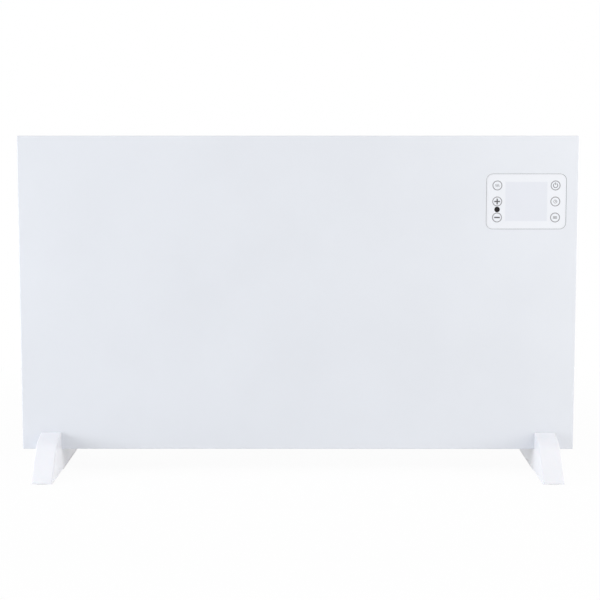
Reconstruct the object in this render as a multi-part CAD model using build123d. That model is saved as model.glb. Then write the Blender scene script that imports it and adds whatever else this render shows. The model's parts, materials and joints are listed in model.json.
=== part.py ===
from build123d import *
import math
import os

# Wall panel convector heater, standing on its two feet. All sizes are in millimetres.
# X runs to the right as seen from the front, Y to the back and Z up.
# The origin is on the floor, in the middle of the four rubber pads.

# ---- Body ----
panel_width = 800.0
panel_height = 453.0
body_depth = 60.0
floor_gap = 32.5  # floor to the front panel's bottom edge
sheet = 0.8  # steel sheet of every folded piece
fold_radius = 1.2
return_depth = 18.0  # the front panel's folded sides
lip_width = 13.0  # folded in behind the sides
housing_inset = 10.0  # the housing's walls stand inside the panel's outline
flange_width = 7.0
housing_radius = 3.0
housing_screw_inset = 6.5
housing_screw_corner = 80.0  # the outer screws, from the panel's corners
screw_bore = 1.5
screw_shank = 1.4
screw_head = 2.9
screw_head_height = 2.0
screw_length = 6.0
head_bevel = 0.8  # on every screw's head

# ---- Air slots, keyholes and beads ----
slot_length = 60.0
slot_width = 5.0
slot_pitch = 70.0
slot_row_pitch = 12.0
rear_slot_rows = 3
rear_slot_height = 20.0  # first row, above the housing's bottom
inlet_row_pitch = 18.0
slot_side_margin = 20.0
keyhole_spacing = 440.0
keyhole_drop = 75.0  # below the housing's top
keyhole_head_radius = 5.0
keyhole_neck_radius = 2.5
keyhole_neck_rise = 9.0
bead_radius = 6.0
bead_depth = 2.0
bead_count = 3
bead_rise = 281.0  # middle bead, above the housing's bottom
bead_pitch = 37.0
bead_side = 45.0  # from the duct's leg

# ---- Outlet grille ----
grille_end = 18.0  # grille to the housing's side
grille_width = 30.0
grille_depth = 11.0
grille_rim = 3.0
grille_rim_thickness = 1.2
grille_wall = 1.5
blade_count = 4
blade_thickness = 1.2
blade_height = 11.0
blade_pitch = 6.0
blade_tilt = 35.0  # degrees, leaning air towards the room
rib_pitch = 62.0
rib_thickness = 1.5

# ---- Feet ----
foot_inset = 41.5  # foot's middle, from the panel's side
foot_width = 30.0
foot_length = 240.0
jaw_height = 24.5  # above the panel's bottom edge
jaw_slope = 12.0  # degrees
toe_slope = 42.0  # degrees
toe_height = 2.0
shoulder_radius = 45.0
foot_edge = 2.0
foot_wall = 2.4
foot_floor = 3.0  # under the seats
toe_land = 27.0  # solid end that takes the pad
foot_rib = 2.0
foot_rib_pitch = 34.0
seat_clearance = 0.3
pad_drop = 1.0
pad_thickness = 2.2
pad_width = 17.0
pad_length = 20.0
pad_radius = 3.0
foot_screw_pitch = 20.0
foot_screw_radius = 2.5
foot_screw_head = 4.6
foot_boss_radius = 5.5
foot_boss_length = 7.0
foot_plate_length = 32.0
foot_plate_thickness = 3.0

# ---- Control fascia ----
control_width = 113.6
control_height = 78.3
control_radius = 9.0
control_right = 16.9  # to the panel's right edge
control_top = 54.2  # to the panel's top edge
control_gap = 0.42
control_recess = 0.5
overlay_thickness = 0.5
fascia_thickness = 2.0
rim_overlap = 6.0
gasket_thickness = 0.8
display_width = 60.0
display_height = 56.0
key_column = 41.5  # from the fascia's middle
key_pitch = 22.85
ir_radius = 3.9
ir_flange = 1.0
stud_radius = 1.5
stud_length = 9.0
stud_height = 25.0  # above and below the fascia's middle
stud_nut_radius = 3.1
stud_nut_height = 2.4
board_depth = 9.2  # fascia's back to the control board
board_thickness = 1.6
board_inset = 4.5  # board's edge, inside the fascia's outline
tray_depth = 18.0
tray_wall = 1.5
post_radius = 3.0
spring_radius = 3.0
spring_wire = 0.6
receiver_size = (8.0, 4.6, 6.2)
receiver_lens = 2.0
buzzer_radius = 4.8
buzzer_height = 5.0
buzzer_hole = 1.2

# ---- Electronics side ----
partition_gap = 8.0  # from the fascia's rim
fold_width = 12.0  # feet of the folded inner sheets
board_width = 90.0
board_height = 118.0
board_gap = 15.0  # below the control tray
board_hole_inset = 6.0
spacer_length = 8.0
spacer_radius = 3.0
relay_size = (16.0, 15.0, 20.0)
relay_pitch = 20.0
relay_place = (20.5, 49.5)  # right of the board's middle and above its bottom edge
transformer_size = (30.0, 22.0, 26.0)
core_depth = 13.0
winding_width = 18.0
winding_height = 21.0
winding_corner = 2.0
transformer_place = (-22.5, 82.5)
capacitor_radius = 8.0
capacitor_length = 18.0
capacitor_bevel = 1.0
capacitor_place = (22.5, 88.5)
connector_size = (26.0, 11.0, 10.0)
connector_pitch = 30.0
connector_rise = 14.0  # middles, above the board's bottom edge
terminal_size = (36.0, 20.0, 16.0)
terminal_height = 34.0  # above the housing's bottom
terminal_count = 3
terminal_well = 3.2

# ---- Mains inlet gland ----
gland_bore = 3.8  # radius
gland_body = 6.0
gland_flange = 9.5
gland_flange_thickness = 2.0
gland_drop = 8.0
gland_rise = 11.0
gland_nut_height = 5.0
gland_offset = 19.0  # from the right foot's inner side

# ---- Mains rocker switch ----
rocker_height = 130.0  # above the housing's bottom
rocker_width = 10.6
rocker_half = 8.0
rocker_rise = 5.0  # ends of the rocker in front of its pivot
rocker_dip = 3.6
rocker_back = 4.0
rocker_tilt = 10.0  # degrees each way
trunnion_radius = 1.2
trunnion_length = 1.2
running_clearance = 0.05
rocker_side_gap = 0.3
bezel_thickness = 1.8
bezel_lap = 2.0
rocker_wall = 1.9
rocker_body_depth = 16.0
tab_length = 8.0
tab_width = 6.3
tab_thickness = 0.8
tab_pitch = 12.8

# ---- Tip-over switch ----
tip_height = 55.0  # above the housing's bottom
tip_width = 30.0
tip_box_height = 58.0
tip_wall = 1.5
tip_gap = 9.12  # box, from the supply wire beside it
pin_radius = 1.5
pin_drop = 22.0
hub_radius = 4.0
hub_length = 12.0
pendulum_length = 24.0
weight_radius = 8.0
weight_length = 14.0
weight_bevel = 1.0
arm_width = 5.0
arm_thickness = 3.0
microswitch_size = (6.0, 20.0, 10.0)
plunger_radius = 1.2
plunger_length = 1.4
tip_swing = 25.0  # degrees each way

# ---- Heating ----
duct_gap = 9.0  # front sheet to duct
duct_side = 14.0  # duct leg to the chamber's side
duct_rise = 34.0  # above the housing's bottom
duct_drop = 24.0  # below the housing's top
element_rise = 86.0  # above the housing's bottom
element_side = 50.0  # bracket, from the duct's leg
core_radius = 4.25
hub_wall = 2.6
fin_reach = 21.0
wing_angle = 45.0
fin_thickness = 1.8
fin_slit = 2.0
fin_slit_pitch = 16.0
fin_root = 10.0
bracket_height = 48.0
bracket_front = 16.0  # bracket's edge in front of the element's axis
bush_radius = 6.0
bush_flange = 8.5
bush_flange_thickness = 3.0
core_end = 14.0
terminal_cap_radius = 6.0
terminal_cap_length = 16.0
reflector_thickness = 0.5
reflector_gap = 6.0
reflector_height = 100.0
cutout_radius = 8.0
cutout_height = 9.0
cutout_ears = 24.0
cutout_ear_height = 8.0
cutout_neck = 4.0
cutout_rise = 45.0  # above the element's axis
fuse_radius = 2.1
fuse_length = 12.0
fuse_grip = 1.0  # how far the clip reaches round the fuse, past its axis
fuse_rise = 80.0
fuse_clip_width = 8.4
fuse_clip_height = 6.0
sensor_radius = 2.5
sensor_length = 10.0
sensor_offset = 44.0  # from the partition

# ---- Rivets, wires ----
rivet_radius = 1.6
rivet_head = 3.2
rivet_head_height = 1.0
rivet_tail = 2.6
rivet_margin = 38.0  # from the ends of a long sheet
bracket_rivet_pitch = 24.0
wire_radius = 1.3
wire_bend = 9.0
riser_offset = 26.0  # rising wires, from the partition
lead_radius = 0.8
grommet_radius = 7.0
grommet_bore = 4.5
grommet_lip = 2.0  # thickness on each side of the sheet
grommet_reach = 1.0
clip_width = 8.0
clip_count = 4
ribbon_width = 14.0
ribbon_thickness = 1.0
ribbon_drop = 26.0  # below the fascia's middle
fit_gap = 0.1  # between parts that are pushed together
cut = 1.0  # how far a cutter runs past the face that it cuts

# ---- Worked out from the sizes above ----
half_width = panel_width / 2
front_y = -body_depth / 2
rear_y = body_depth / 2
inner_front_y = front_y + sheet
inner_rear_y = rear_y - sheet
lip_y = front_y + return_depth
flange_y = lip_y + sheet
panel_bottom = floor_gap
panel_top = floor_gap + panel_height
wall_x = half_width - housing_inset
wall_bottom = panel_bottom + housing_inset
wall_top = panel_top - housing_inset
inner_x = wall_x - sheet
inner_bottom = wall_bottom + sheet
inner_top = wall_top - sheet
housing_mid_y = (lip_y + rear_y) / 2
grille_length = 2 * (wall_x - grille_end)

foot_x = half_width - foot_inset
seat_front_y = front_y - seat_clearance
seat_rear_y = rear_y + seat_clearance
seat_step_y = flange_y + seat_clearance
foot_base = pad_drop
jaw_top = panel_bottom + jaw_height

control_x = half_width - control_right - control_width / 2
control_z = panel_top - control_top - control_height / 2
overlay_y = front_y + control_recess
fascia_y = overlay_y + overlay_thickness
fascia_back_y = fascia_y + fascia_thickness
tray_flange_y = fascia_back_y + tray_wall
tray_back_y = fascia_back_y + tray_depth
board_y = fascia_back_y + board_depth
gasket_y = inner_front_y + gasket_thickness
rim_width = control_width + 2 * (control_gap + rim_overlap)
rim_height = control_height + 2 * (control_gap + rim_overlap)
stud_x = control_width / 2 + control_gap + rim_overlap / 2

partition_x = control_x - rim_width / 2 - partition_gap
duct_right = partition_x - duct_side
duct_left = -inner_x + duct_side
duct_y = inner_front_y + duct_gap
duct_bottom = wall_bottom + duct_rise
duct_top = wall_top - duct_drop
element_y = (duct_y + inner_rear_y) / 2
element_z = wall_bottom + element_rise
bracket_xs = (duct_left + element_side, duct_right - element_side)
bead_reach = duct_right - bead_side
bead_y = rear_y - bead_depth + bead_radius
bush_end = sheet / 2 + bush_flange_thickness

power_top = control_z - rim_height / 2 - board_gap
power_bottom = power_top - board_height
power_y = inner_rear_y - spacer_length
power_front_y = power_y - board_thickness
gland_x = foot_x - foot_width / 2 - gland_offset
block_x = gland_x + terminal_size[0] / 2
rocker_z = wall_bottom + rocker_height
rocker_y = housing_mid_y
rocker_x = wall_x + bezel_thickness - rocker_dip
tip_x = block_x - wire_radius - tip_gap - tip_width / 2
tip_z = wall_bottom + tip_height
tip_top = tip_z + tip_box_height
pin_z = tip_top - pin_drop
tip_reach = pendulum_length * math.sin(math.radians(tip_swing)) + weight_radius + tip_wall
tip_y = inner_rear_y - tip_wall - tip_reach
low_wire_z = (inner_bottom + duct_bottom) / 2
riser_x = partition_x + riser_offset
sensor_x = partition_x + sensor_offset
grommet_places = ((element_y, element_z), (housing_mid_y, low_wire_z))


def block(x, y, z):
    """A box given by its low and high limit on each axis."""
    limits = (x, y, z)
    middle = [(low + high) / 2 for low, high in limits]
    return Pos(*middle) * Box(*[high - low for low, high in limits])


def span(middle, size):
    """The low and high limit of a length, from its middle."""
    return (middle - size / 2, middle + size / 2)


def rod_x(radius, low, high, y, z):
    """A round bar along X."""
    return Pos((low + high) / 2, y, z) * Rot(0, 90, 0) * Cylinder(radius, high - low)


def rod_y(radius, low, high, x, z):
    """A round bar along Y."""
    return Pos(x, (low + high) / 2, z) * Rot(90, 0, 0) * Cylinder(radius, high - low)


def rod_z(radius, low, high, x, y):
    """A round bar along Z."""
    return Pos(x, y, (low + high) / 2) * Cylinder(radius, high - low)


def upright(outline, low, high, x, z):
    """A flat outline stood up parallel to the front panel, from one depth to another."""
    plane = Plane(origin=(x, high, z), x_dir=(1, 0, 0), z_dir=(0, -1, 0))
    return extrude(plane * outline, high - low)


def group(pieces):
    """Separate solids that share one node."""
    return Compound([solid for piece in pieces for solid in piece.solids()])


def row(count, pitch, middle=0.0):
    """Evenly spaced places about a middle."""
    return [middle + (i - (count - 1) / 2) * pitch for i in range(count)]


# ---- Front panel and rear housing ----
def housing_screw_places():
    """Screws round the rear housing's flange, in X and Z."""
    across = half_width - housing_screw_corner
    side = half_width - housing_screw_inset
    low = panel_bottom + housing_screw_corner
    high = panel_top - housing_screw_corner
    ends = (panel_bottom + housing_screw_inset, panel_top - housing_screw_inset)
    places = [(x, z) for z in ends for x in row(3, across)]
    return places + [(x, z) for x in (-side, side) for z in row(3, (high - low) / 2, (low + high) / 2)]


def stud_places():
    """Weld studs beside the control cut-out, in X and Z."""
    return [(control_x + x, control_z + z) for x in (-stud_x, stud_x) for z in (-stud_height, stud_height)]


def control_outline(grow):
    """The fascia's rounded outline, grown all round by a margin."""
    return RectangleRounded(control_width + 2 * grow, control_height + 2 * grow, control_radius + grow)


def rim_outline():
    """Outline of the fascia's rim and of the tray's flange, behind the sheet."""
    return control_outline(control_gap + rim_overlap)


def front_panel():
    """Folded steel front: a face, four returned sides and a lip folded in behind them."""
    shell = block((-half_width, half_width), (front_y, lip_y), (panel_bottom, panel_top))
    shell = fillet(shell.edges(), fold_radius)
    hollow = block(
        span(0, panel_width - 2 * sheet),
        (inner_front_y, lip_y - sheet),
        (panel_bottom + sheet, panel_top - sheet),
    )
    mouth = block(
        span(0, panel_width - 2 * lip_width),
        (inner_front_y, lip_y + cut),
        (panel_bottom + lip_width, panel_top - lip_width),
    )
    window = upright(control_outline(control_gap), front_y - cut, inner_front_y + cut, control_x, control_z)
    holes = [rod_y(screw_bore, lip_y - sheet - cut, lip_y + cut, x, z) for x, z in housing_screw_places()]
    studs = [rod_y(stud_radius, front_y + sheet / 2, inner_front_y + stud_length, x, z)
             for x, z in stud_places()]
    return shell - [hollow, mouth, window, *holes] + studs


def keyhole(x):
    """Cutter for one keyhole: the screw's head goes in below and its neck slides up."""
    z = wall_top - keyhole_drop
    head = Circle(keyhole_head_radius)
    neck = Pos(0, keyhole_neck_rise / 2) * Rectangle(2 * keyhole_neck_radius, keyhole_neck_rise)
    end = Pos(0, keyhole_neck_rise) * Circle(keyhole_neck_radius)
    return upright(head + neck + end, inner_rear_y - cut, rear_y + cut, x, z)


def rear_slots():
    """Rows of air slots low in the rear wall."""
    count = int(2 * (wall_x - foot_inset) // slot_pitch)
    first = wall_bottom + rear_slot_height
    slots = []
    for level in range(rear_slot_rows):
        for x in row(count, slot_pitch):
            z = first + level * slot_row_pitch
            outline = SlotOverall(slot_length, slot_width)
            slots.append(upright(outline, inner_rear_y - cut, rear_y + cut, x, z))
    return slots


def inlet_slots():
    """Two rows of air slots in the bottom wall, between the feet."""
    field = 2 * (foot_x - foot_width / 2 - slot_side_margin)
    slots = []
    for y in row(2, inlet_row_pitch, housing_mid_y):
        for x in row(int(field // slot_pitch), slot_pitch):
            outline = Pos(x, y, wall_bottom - cut) * SlotOverall(slot_length, slot_width)
            slots.append(extrude(outline, sheet + 2 * cut))
    return slots


def beads(radius):
    """Capsules that press the stiffening beads into the rear wall."""
    heights = row(bead_count, bead_pitch, wall_bottom + bead_rise)
    ends = [Pos(x, bead_y, z) * Sphere(radius) for x in (-bead_reach, bead_reach) for z in heights]
    return [rod_x(radius, -bead_reach, bead_reach, bead_y, z) for z in heights] + ends


def foot_screw_places():
    """The screws of both feet, in X and Y."""
    return [(x, y) for x in (-foot_x, foot_x) for y in row(2, foot_screw_pitch, housing_mid_y)]


def rivet_places():
    """Rivets through the rear wall, in X and Z: duct, element brackets and partition."""
    duct_pitch = (duct_top - duct_bottom) / 2 - rivet_margin
    wall_pitch = (wall_top - wall_bottom) / 2 - rivet_margin
    duct = [(x, z) for x in (duct_left - fold_width / 2, duct_right + fold_width / 2)
            for z in row(3, duct_pitch, (duct_top + duct_bottom) / 2)]
    brackets = [(x + fold_width / 2, z) for x in bracket_xs for z in row(2, bracket_rivet_pitch, element_z)]
    partition = [(partition_x + fold_width / 2 + sheet, z)
                 for z in row(3, wall_pitch, (wall_top + wall_bottom) / 2)]
    return duct + brackets + partition


def rivet_bores(low, high):
    """Cutters for the rivets, from one depth to another."""
    return [rod_y(rivet_radius + fit_gap, low, high, x, z) for x, z in rivet_places()]


def rear_housing():
    """Pressed steel back: four walls, a beaded rear wall and a flange that lies on the panel's lip."""
    walls = block((-wall_x, wall_x), (lip_y, rear_y), (wall_bottom, wall_top))
    walls = fillet(walls.edges() - walls.faces().sort_by(Axis.Y)[0].edges(), housing_radius)
    hollow = block((-inner_x, inner_x), (lip_y - cut, inner_rear_y), (inner_bottom, inner_top))
    hollow = fillet(hollow.edges() - hollow.faces().sort_by(Axis.Y)[0].edges(), housing_radius - sheet)
    reach = flange_width - housing_inset
    flange = block(
        (-half_width - reach, half_width + reach),
        (lip_y, flange_y),
        (panel_bottom - reach, panel_top + reach),
    )
    outlet = block(
        span(0, grille_length), span(housing_mid_y, grille_width), (inner_top - cut, wall_top + cut)
    )
    cutters = [outlet, *rear_slots(), *inlet_slots(), *rivet_bores(inner_rear_y - cut, rear_y + cut)]
    cutters += [keyhole(x) for x in row(2, keyhole_spacing)]
    cutters += [rod_y(screw_bore, lip_y - cut, flange_y + cut, x, z) for x, z in housing_screw_places()]
    cutters += [rod_z(foot_screw_radius + fit_gap, wall_bottom - cut, inner_bottom + cut, x, y)
                for x, y in foot_screw_places()]
    cutters.append(rod_z(gland_body + fit_gap, wall_bottom - cut, inner_bottom + cut, gland_x, housing_mid_y))
    cutters.append(rocker_body(fit_gap, inner_x - cut, wall_x + cut))
    rear_zone = block((-wall_x, wall_x), (housing_mid_y, rear_y), (wall_bottom, wall_top))
    pressed = Part() + beads(bead_radius + sheet)
    return walls + flange - hollow + (pressed & rear_zone) - cutters - beads(bead_radius)


def screw(shank, head, head_height, length):
    """A screw along +Z with its seat at zero: the head below and the shank above."""
    cap = Pos(0, 0, -head_height / 2) * Cylinder(head, head_height)
    cap = chamfer(cap.faces().sort_by(Axis.Z)[0].edges(), head_bevel)
    return cap + Pos(0, 0, length / 2) * Cylinder(shank, length)


def housing_screws():
    """Screws through the flange into the lip, put in from behind."""
    one = screw(screw_shank, screw_head, screw_head_height, screw_length)
    return group([Pos(x, flange_y, z) * Rot(90, 0, 0) * one for x, z in housing_screw_places()])


def rivets():
    """Pop rivets that hold the inner sheets on the rear wall."""
    seat = inner_rear_y - sheet
    half_head = rivet_head_height / 2
    return group([
        rod_y(rivet_radius, seat - half_head, rear_y + half_head, x, z)
        + rod_y(rivet_head, rear_y, rear_y + rivet_head_height, x, z)
        + rod_y(rivet_tail, seat - rivet_head_height, seat, x, z)
        for x, z in rivet_places()
    ])


def outlet_grille():
    """Louvred grille in the top wall: frame, leaning blades and cross ribs."""
    length = grille_length - 2 * fit_gap
    width = grille_width - 2 * fit_gap
    low = wall_top - grille_depth
    top = wall_top + grille_rim_thickness
    frame = block(span(0, length), span(housing_mid_y, width), (low, top))
    inside = block(
        span(0, length - 2 * grille_wall),
        span(housing_mid_y, width - 2 * grille_wall),
        (low - cut, top + cut),
    )
    rim = block(
        span(0, grille_length + 2 * grille_rim),
        span(housing_mid_y, grille_width + 2 * grille_rim),
        (wall_top, top),
    )
    blade = Rot(blade_tilt, 0, 0) * Box(length - grille_wall, blade_thickness, blade_height)
    blades = [Pos(0, y, (low + top) / 2) * blade for y in row(blade_count, blade_pitch, housing_mid_y)]
    ribs = [
        block(span(x, rib_thickness), span(housing_mid_y, width - grille_wall), (low, top - blade_thickness))
        for x in row(int((length - rib_pitch) // rib_pitch) + 1, rib_pitch)
    ]
    return (frame + rim) - inside + blades + ribs


# ---- Feet ----
def side_plane(x):
    """A plane seen from the side: its first axis is Y and its second is Z."""
    return Plane(origin=(x, 0, 0), x_dir=(0, 1, 0), z_dir=(1, 0, 0))


def foot_outline():
    """Side outline: a blunt toe, a long slope, a round shoulder and a gentle run to the jaw, mirrored."""
    toe = foot_length / 2
    toe_top = foot_base + toe_height
    gentle = math.tan(math.radians(jaw_slope))
    steep = math.tan(math.radians(toe_slope))
    jaw = seat_rear_y
    shoulder = (toe_top + steep * toe - jaw_top - gentle * jaw) / (steep - gentle)
    shoulder_z = jaw_top - gentle * (shoulder - jaw)
    half = [(toe, foot_base), (toe, toe_top), (shoulder, shoulder_z), (jaw, jaw_top)]
    mirrored = [(-y, z) for y, z in reversed(half)]
    outline = make_face(Polyline(*half, *mirrored, close=True))
    corners = [v for v in outline.vertices() if abs(v.Y - shoulder_z) < fit_gap]
    return fillet(corners, shoulder_radius)


def seat_outline(grow):
    """The stepped seat that the body stands in, grown all round by a margin."""
    high = jaw_top + cut
    panel = Pos((seat_front_y + seat_step_y) / 2, (panel_bottom - grow + high) / 2) * Rectangle(
        seat_step_y - seat_front_y + 2 * grow, high - panel_bottom + grow
    )
    housing = Pos((seat_step_y + seat_rear_y) / 2, (wall_bottom - grow + high) / 2) * Rectangle(
        seat_rear_y - seat_step_y + 2 * grow, high - wall_bottom + grow
    )
    return panel + housing


def foot(x):
    """Moulded foot: a saddle with a hollow, ribbed underside and two screw bosses."""
    inner_width = foot_width - 2 * foot_wall
    left = side_plane(x - foot_width / 2)
    inner = side_plane(x - inner_width / 2)
    body = extrude(left * foot_outline(), foot_width)
    sides = [e for e in body.edges() if abs(e.center().X - x) > foot_width / 4]
    body = fillet([e for e in sides if e.center().Z > foot_base + cut], foot_edge)
    body -= extrude(left * seat_outline(0), foot_width)
    hollow_half = foot_length / 2 - toe_land
    room = Pos(0, jaw_top / 2) * Rectangle(2 * hollow_half, jaw_top)
    hollow = offset(foot_outline(), -foot_wall) - seat_outline(foot_floor)
    mouth = Pos(0, foot_base) * Rectangle(2 * hollow_half, 2 * foot_wall + cut)
    hollow = (hollow & room) + mouth
    shell = body - extrude(inner * hollow, inner_width)
    count = int(2 * hollow_half // foot_rib_pitch)
    for y in row(count + count % 2, foot_rib_pitch):
        rib = Pos(y, jaw_top / 2 + foot_base + foot_wall) * Rectangle(foot_rib, jaw_top)
        shell += extrude(inner * (hollow & rib), inner_width)
    boss_low = wall_bottom - foot_floor - foot_boss_length
    for y in row(2, foot_screw_pitch, housing_mid_y):
        shell += rod_z(foot_boss_radius, boss_low, wall_bottom, x, y)
        shell -= rod_z(foot_screw_radius + fit_gap, foot_base, wall_bottom + cut, x, y)
        shell -= rod_z(foot_screw_head + seat_clearance, foot_base, boss_low, x, y)
    for y in pad_places():
        shell -= pad(x, y, fit_gap)
    return shell


def pad_places():
    """The pads' middles along a foot."""
    return row(2, foot_length - toe_land)


def pad(x, y, grow):
    """One rubber pad, or with a margin its recess."""
    outline = RectangleRounded(pad_width + 2 * grow, pad_length + 2 * grow, pad_radius + grow)
    return extrude(Pos(x, y, 0) * outline, pad_thickness)


def foot_pads(x):
    """Both pads of a foot."""
    return group([pad(x, y, 0) for y in pad_places()])


def foot_screws():
    """Screws from below, through each foot into its plate."""
    seat = wall_bottom - foot_floor - foot_boss_length
    length = inner_bottom + foot_plate_thickness - seat
    one = screw(foot_screw_radius - fit_gap, foot_screw_head, foot_floor, length)
    return group([Pos(x, y, seat) * one for x, y in foot_screw_places()])


def foot_plates():
    """Threaded steel plates inside the housing, one above each foot."""
    high = inner_bottom + foot_plate_thickness
    plates = []
    for x in (-foot_x, foot_x):
        plate = block(span(x, foot_width), span(housing_mid_y, foot_plate_length), (inner_bottom, high))
        bores = [rod_z(foot_screw_radius, inner_bottom - cut, high + cut, x, y)
                 for y in row(2, foot_screw_pitch, housing_mid_y)]
        plates.append(plate - bores)
    return group(plates)


# ---- Control fascia ----
def key_rows():
    """Heights of the three rows of keys."""
    return row(3, key_pitch, control_z)


def ir_place():
    """The receiver's window lies between the two lower keys of the left column."""
    return (control_x - key_column, control_z - key_pitch / 2)


def fascia_overlay():
    """Printed film over the fascia, with a hole for the receiver's window."""
    x, z = ir_place()
    film = upright(control_outline(0), overlay_y, fascia_y, control_x, control_z)
    return film - rod_y(ir_radius + fit_gap, overlay_y - cut, fascia_y + cut, x, z)


def control_fascia():
    """Moulded plate in the cut-out, with a wider rim that lies behind the sheet."""
    x, z = ir_place()
    plate = upright(control_outline(0), fascia_y, fascia_back_y, control_x, control_z)
    rim = upright(rim_outline(), gasket_y, fascia_back_y, control_x, control_z)
    through = (fascia_y - cut, fascia_back_y + cut)
    opening = upright(Rectangle(display_width, display_height), *through, control_x, control_z)
    eye = rod_y(ir_radius + fit_gap, *through, x, z)
    bores = [rod_y(stud_radius + fit_gap, *through, sx, sz) for sx, sz in stud_places()]
    return plate + rim - [opening, eye, *bores]


def fascia_gasket():
    """Foam ring between the sheet and the fascia's rim. It is what shows in the narrow gap."""
    ring = upright(rim_outline() - control_outline(fit_gap), inner_front_y, gasket_y, control_x, control_z)
    through = (inner_front_y - cut, gasket_y + cut)
    return ring - [rod_y(stud_radius + fit_gap, *through, x, z) for x, z in stud_places()]


def ir_window():
    """Black plug for the remote's receiver, flush with the film and flanged behind."""
    x, z = ir_place()
    plug = rod_y(ir_radius, overlay_y, fascia_back_y, x, z)
    return plug + rod_y(ir_radius + ir_flange, fascia_back_y, fascia_back_y + ir_flange, x, z)


def display_module():
    """Light box of the display, from the film back to the board."""
    outline = Rectangle(display_width - 2 * fit_gap, display_height - 2 * fit_gap)
    return upright(outline, fascia_y, board_y, control_x, control_z)


def control_tray():
    """Moulded tray behind the fascia, with posts that carry the board."""
    floor = tray_back_y - tray_wall
    before = fascia_back_y - cut
    flange = upright(rim_outline(), fascia_back_y, tray_flange_y, control_x, control_z)
    box = upright(control_outline(-tray_wall), fascia_back_y, tray_back_y, control_x, control_z)
    room = upright(control_outline(-2 * tray_wall), before, floor, control_x, control_z)
    bores = [rod_y(stud_radius + fit_gap, before, tray_flange_y + cut, x, z) for x, z in stud_places()]
    port = block(
        span(control_x, ribbon_width + 2 * tray_wall),
        (floor - cut, tray_back_y + cut),
        span(control_z - ribbon_drop, 2 * tray_wall + ribbon_thickness),
    )
    posts = [rod_y(post_radius, board_y + board_thickness, floor, x, z) for x, z in board_corners()]
    return flange + box - room - [*bores, port] + posts


def board_corners():
    """Where the control board stands on the tray's posts."""
    x = control_width / 2 - board_inset - post_radius
    z = control_height / 2 - board_inset - post_radius
    return [(control_x + i * x, control_z + j * z) for i in (-1, 1) for j in (-1, 1)]


def control_board():
    """Circuit board of the keys and display."""
    return upright(control_outline(-board_inset), board_y, board_y + board_thickness, control_x, control_z)


def touch_springs():
    """One contact spring from the board to the back of each key."""
    springs = []
    for x in row(2, 2 * key_column, control_x):
        for z in key_rows():
            inside = rod_y(spring_radius - spring_wire, fascia_back_y - cut, board_y + cut, x, z)
            springs.append(rod_y(spring_radius, fascia_back_y, board_y, x, z) - inside)
    return group(springs)


def ir_receiver():
    """Receiver on the board, right behind its window."""
    x, z = ir_place()
    width, depth, height = receiver_size
    body = block(span(x, width), (board_y - depth, board_y), span(z, height))
    return body + rod_y(receiver_lens, fascia_back_y + 2 * ir_flange, board_y - depth, x, z)


def buzzer():
    """Sounder on the board, between two keys of the right column."""
    x = control_x + key_column
    z = key_rows()[1] + key_pitch / 2
    front = board_y - buzzer_height
    return rod_y(buzzer_radius, front, board_y, x, z) - rod_y(buzzer_hole, front - cut, front + cut, x, z)


def control_nuts():
    """Nuts on the studs, which hold the tray and fascia on the panel."""
    back = tray_flange_y + stud_nut_height
    nuts = []
    for x, z in stud_places():
        nut = upright(RegularPolygon(stud_nut_radius, 6), tray_flange_y, back, x, z)
        nuts.append(nut - rod_y(stud_radius, tray_flange_y - cut, back + cut, x, z))
    return group(nuts)


# ---- Electronics side ----
def partition():
    """Sheet between the hot side and the electronics, folded at the rear wall."""
    z = (panel_bottom + lip_width + sheet, wall_top - grille_depth - seat_clearance)
    web = block((partition_x, partition_x + sheet), (inner_front_y + fit_gap, inner_rear_y), z)
    fold = block((partition_x, partition_x + sheet + fold_width), (inner_rear_y - sheet, inner_rear_y), z)
    through = (partition_x - cut, partition_x + sheet + cut)
    bores = [rod_x(grommet_radius, *through, y, z) for y, z in grommet_places]
    return web + fold - [*bores, *rivet_bores(inner_rear_y - sheet - cut, inner_rear_y + cut)]


def partition_grommets():
    """Rubber rings in the partition, which the element's wires go through."""
    low, high = partition_x, partition_x + sheet
    rings = []
    for y, z in grommet_places:
        neck = rod_x(grommet_radius, low, high, y, z)
        left = rod_x(grommet_radius + grommet_reach, low - grommet_lip, low, y, z)
        right = rod_x(grommet_radius + grommet_reach, high, high + grommet_lip, y, z)
        bore = rod_x(grommet_bore, low - grommet_lip - cut, high + grommet_lip + cut, y, z)
        rings.append(neck + left + right - bore)
    return group(rings)


def power_corners():
    """Spacers under the power board, in X and Z."""
    x = board_width / 2 - board_hole_inset
    z = board_height / 2 - board_hole_inset
    middle = (power_top + power_bottom) / 2
    return [(control_x + i * x, middle + j * z) for i in (-1, 1) for j in (-1, 1)]


def power_board():
    """Circuit board that switches the element."""
    board = block(span(control_x, board_width), (power_front_y, power_y), (power_bottom, power_top))
    through = (power_front_y - cut, power_y + cut)
    return board - [rod_y(stud_radius + fit_gap, *through, x, z) for x, z in power_corners()]


def board_spacers():
    """Threaded spacers on the rear wall."""
    return group([
        rod_y(spacer_radius, power_y, inner_rear_y, x, z)
        - rod_y(stud_radius, power_y - cut, power_y + spacer_length / 2, x, z)
        for x, z in power_corners()
    ])


def board_screws():
    """Screws that hold the power board on its spacers."""
    length = board_thickness + spacer_length / 2 - fit_gap
    one = screw(stud_radius - fit_gap, screw_head, screw_head_height, length)
    return group([Pos(x, power_front_y, z) * Rot(-90, 0, 0) * one for x, z in power_corners()])


def on_power_board(place):
    """X and Z of a place given from the power board's middle and its bottom edge."""
    return (control_x + place[0], power_bottom + place[1])


def component(size, x, z):
    """A box-shaped component on the power board's front."""
    width, depth, height = size
    return block(span(x, width), (power_front_y - depth, power_front_y), span(z, height))


def power_relays():
    """Two relays, one for each heat level."""
    middle, z = on_power_board(relay_place)
    return group([component(relay_size, x, z) for x in row(2, relay_pitch, middle)])


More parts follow.
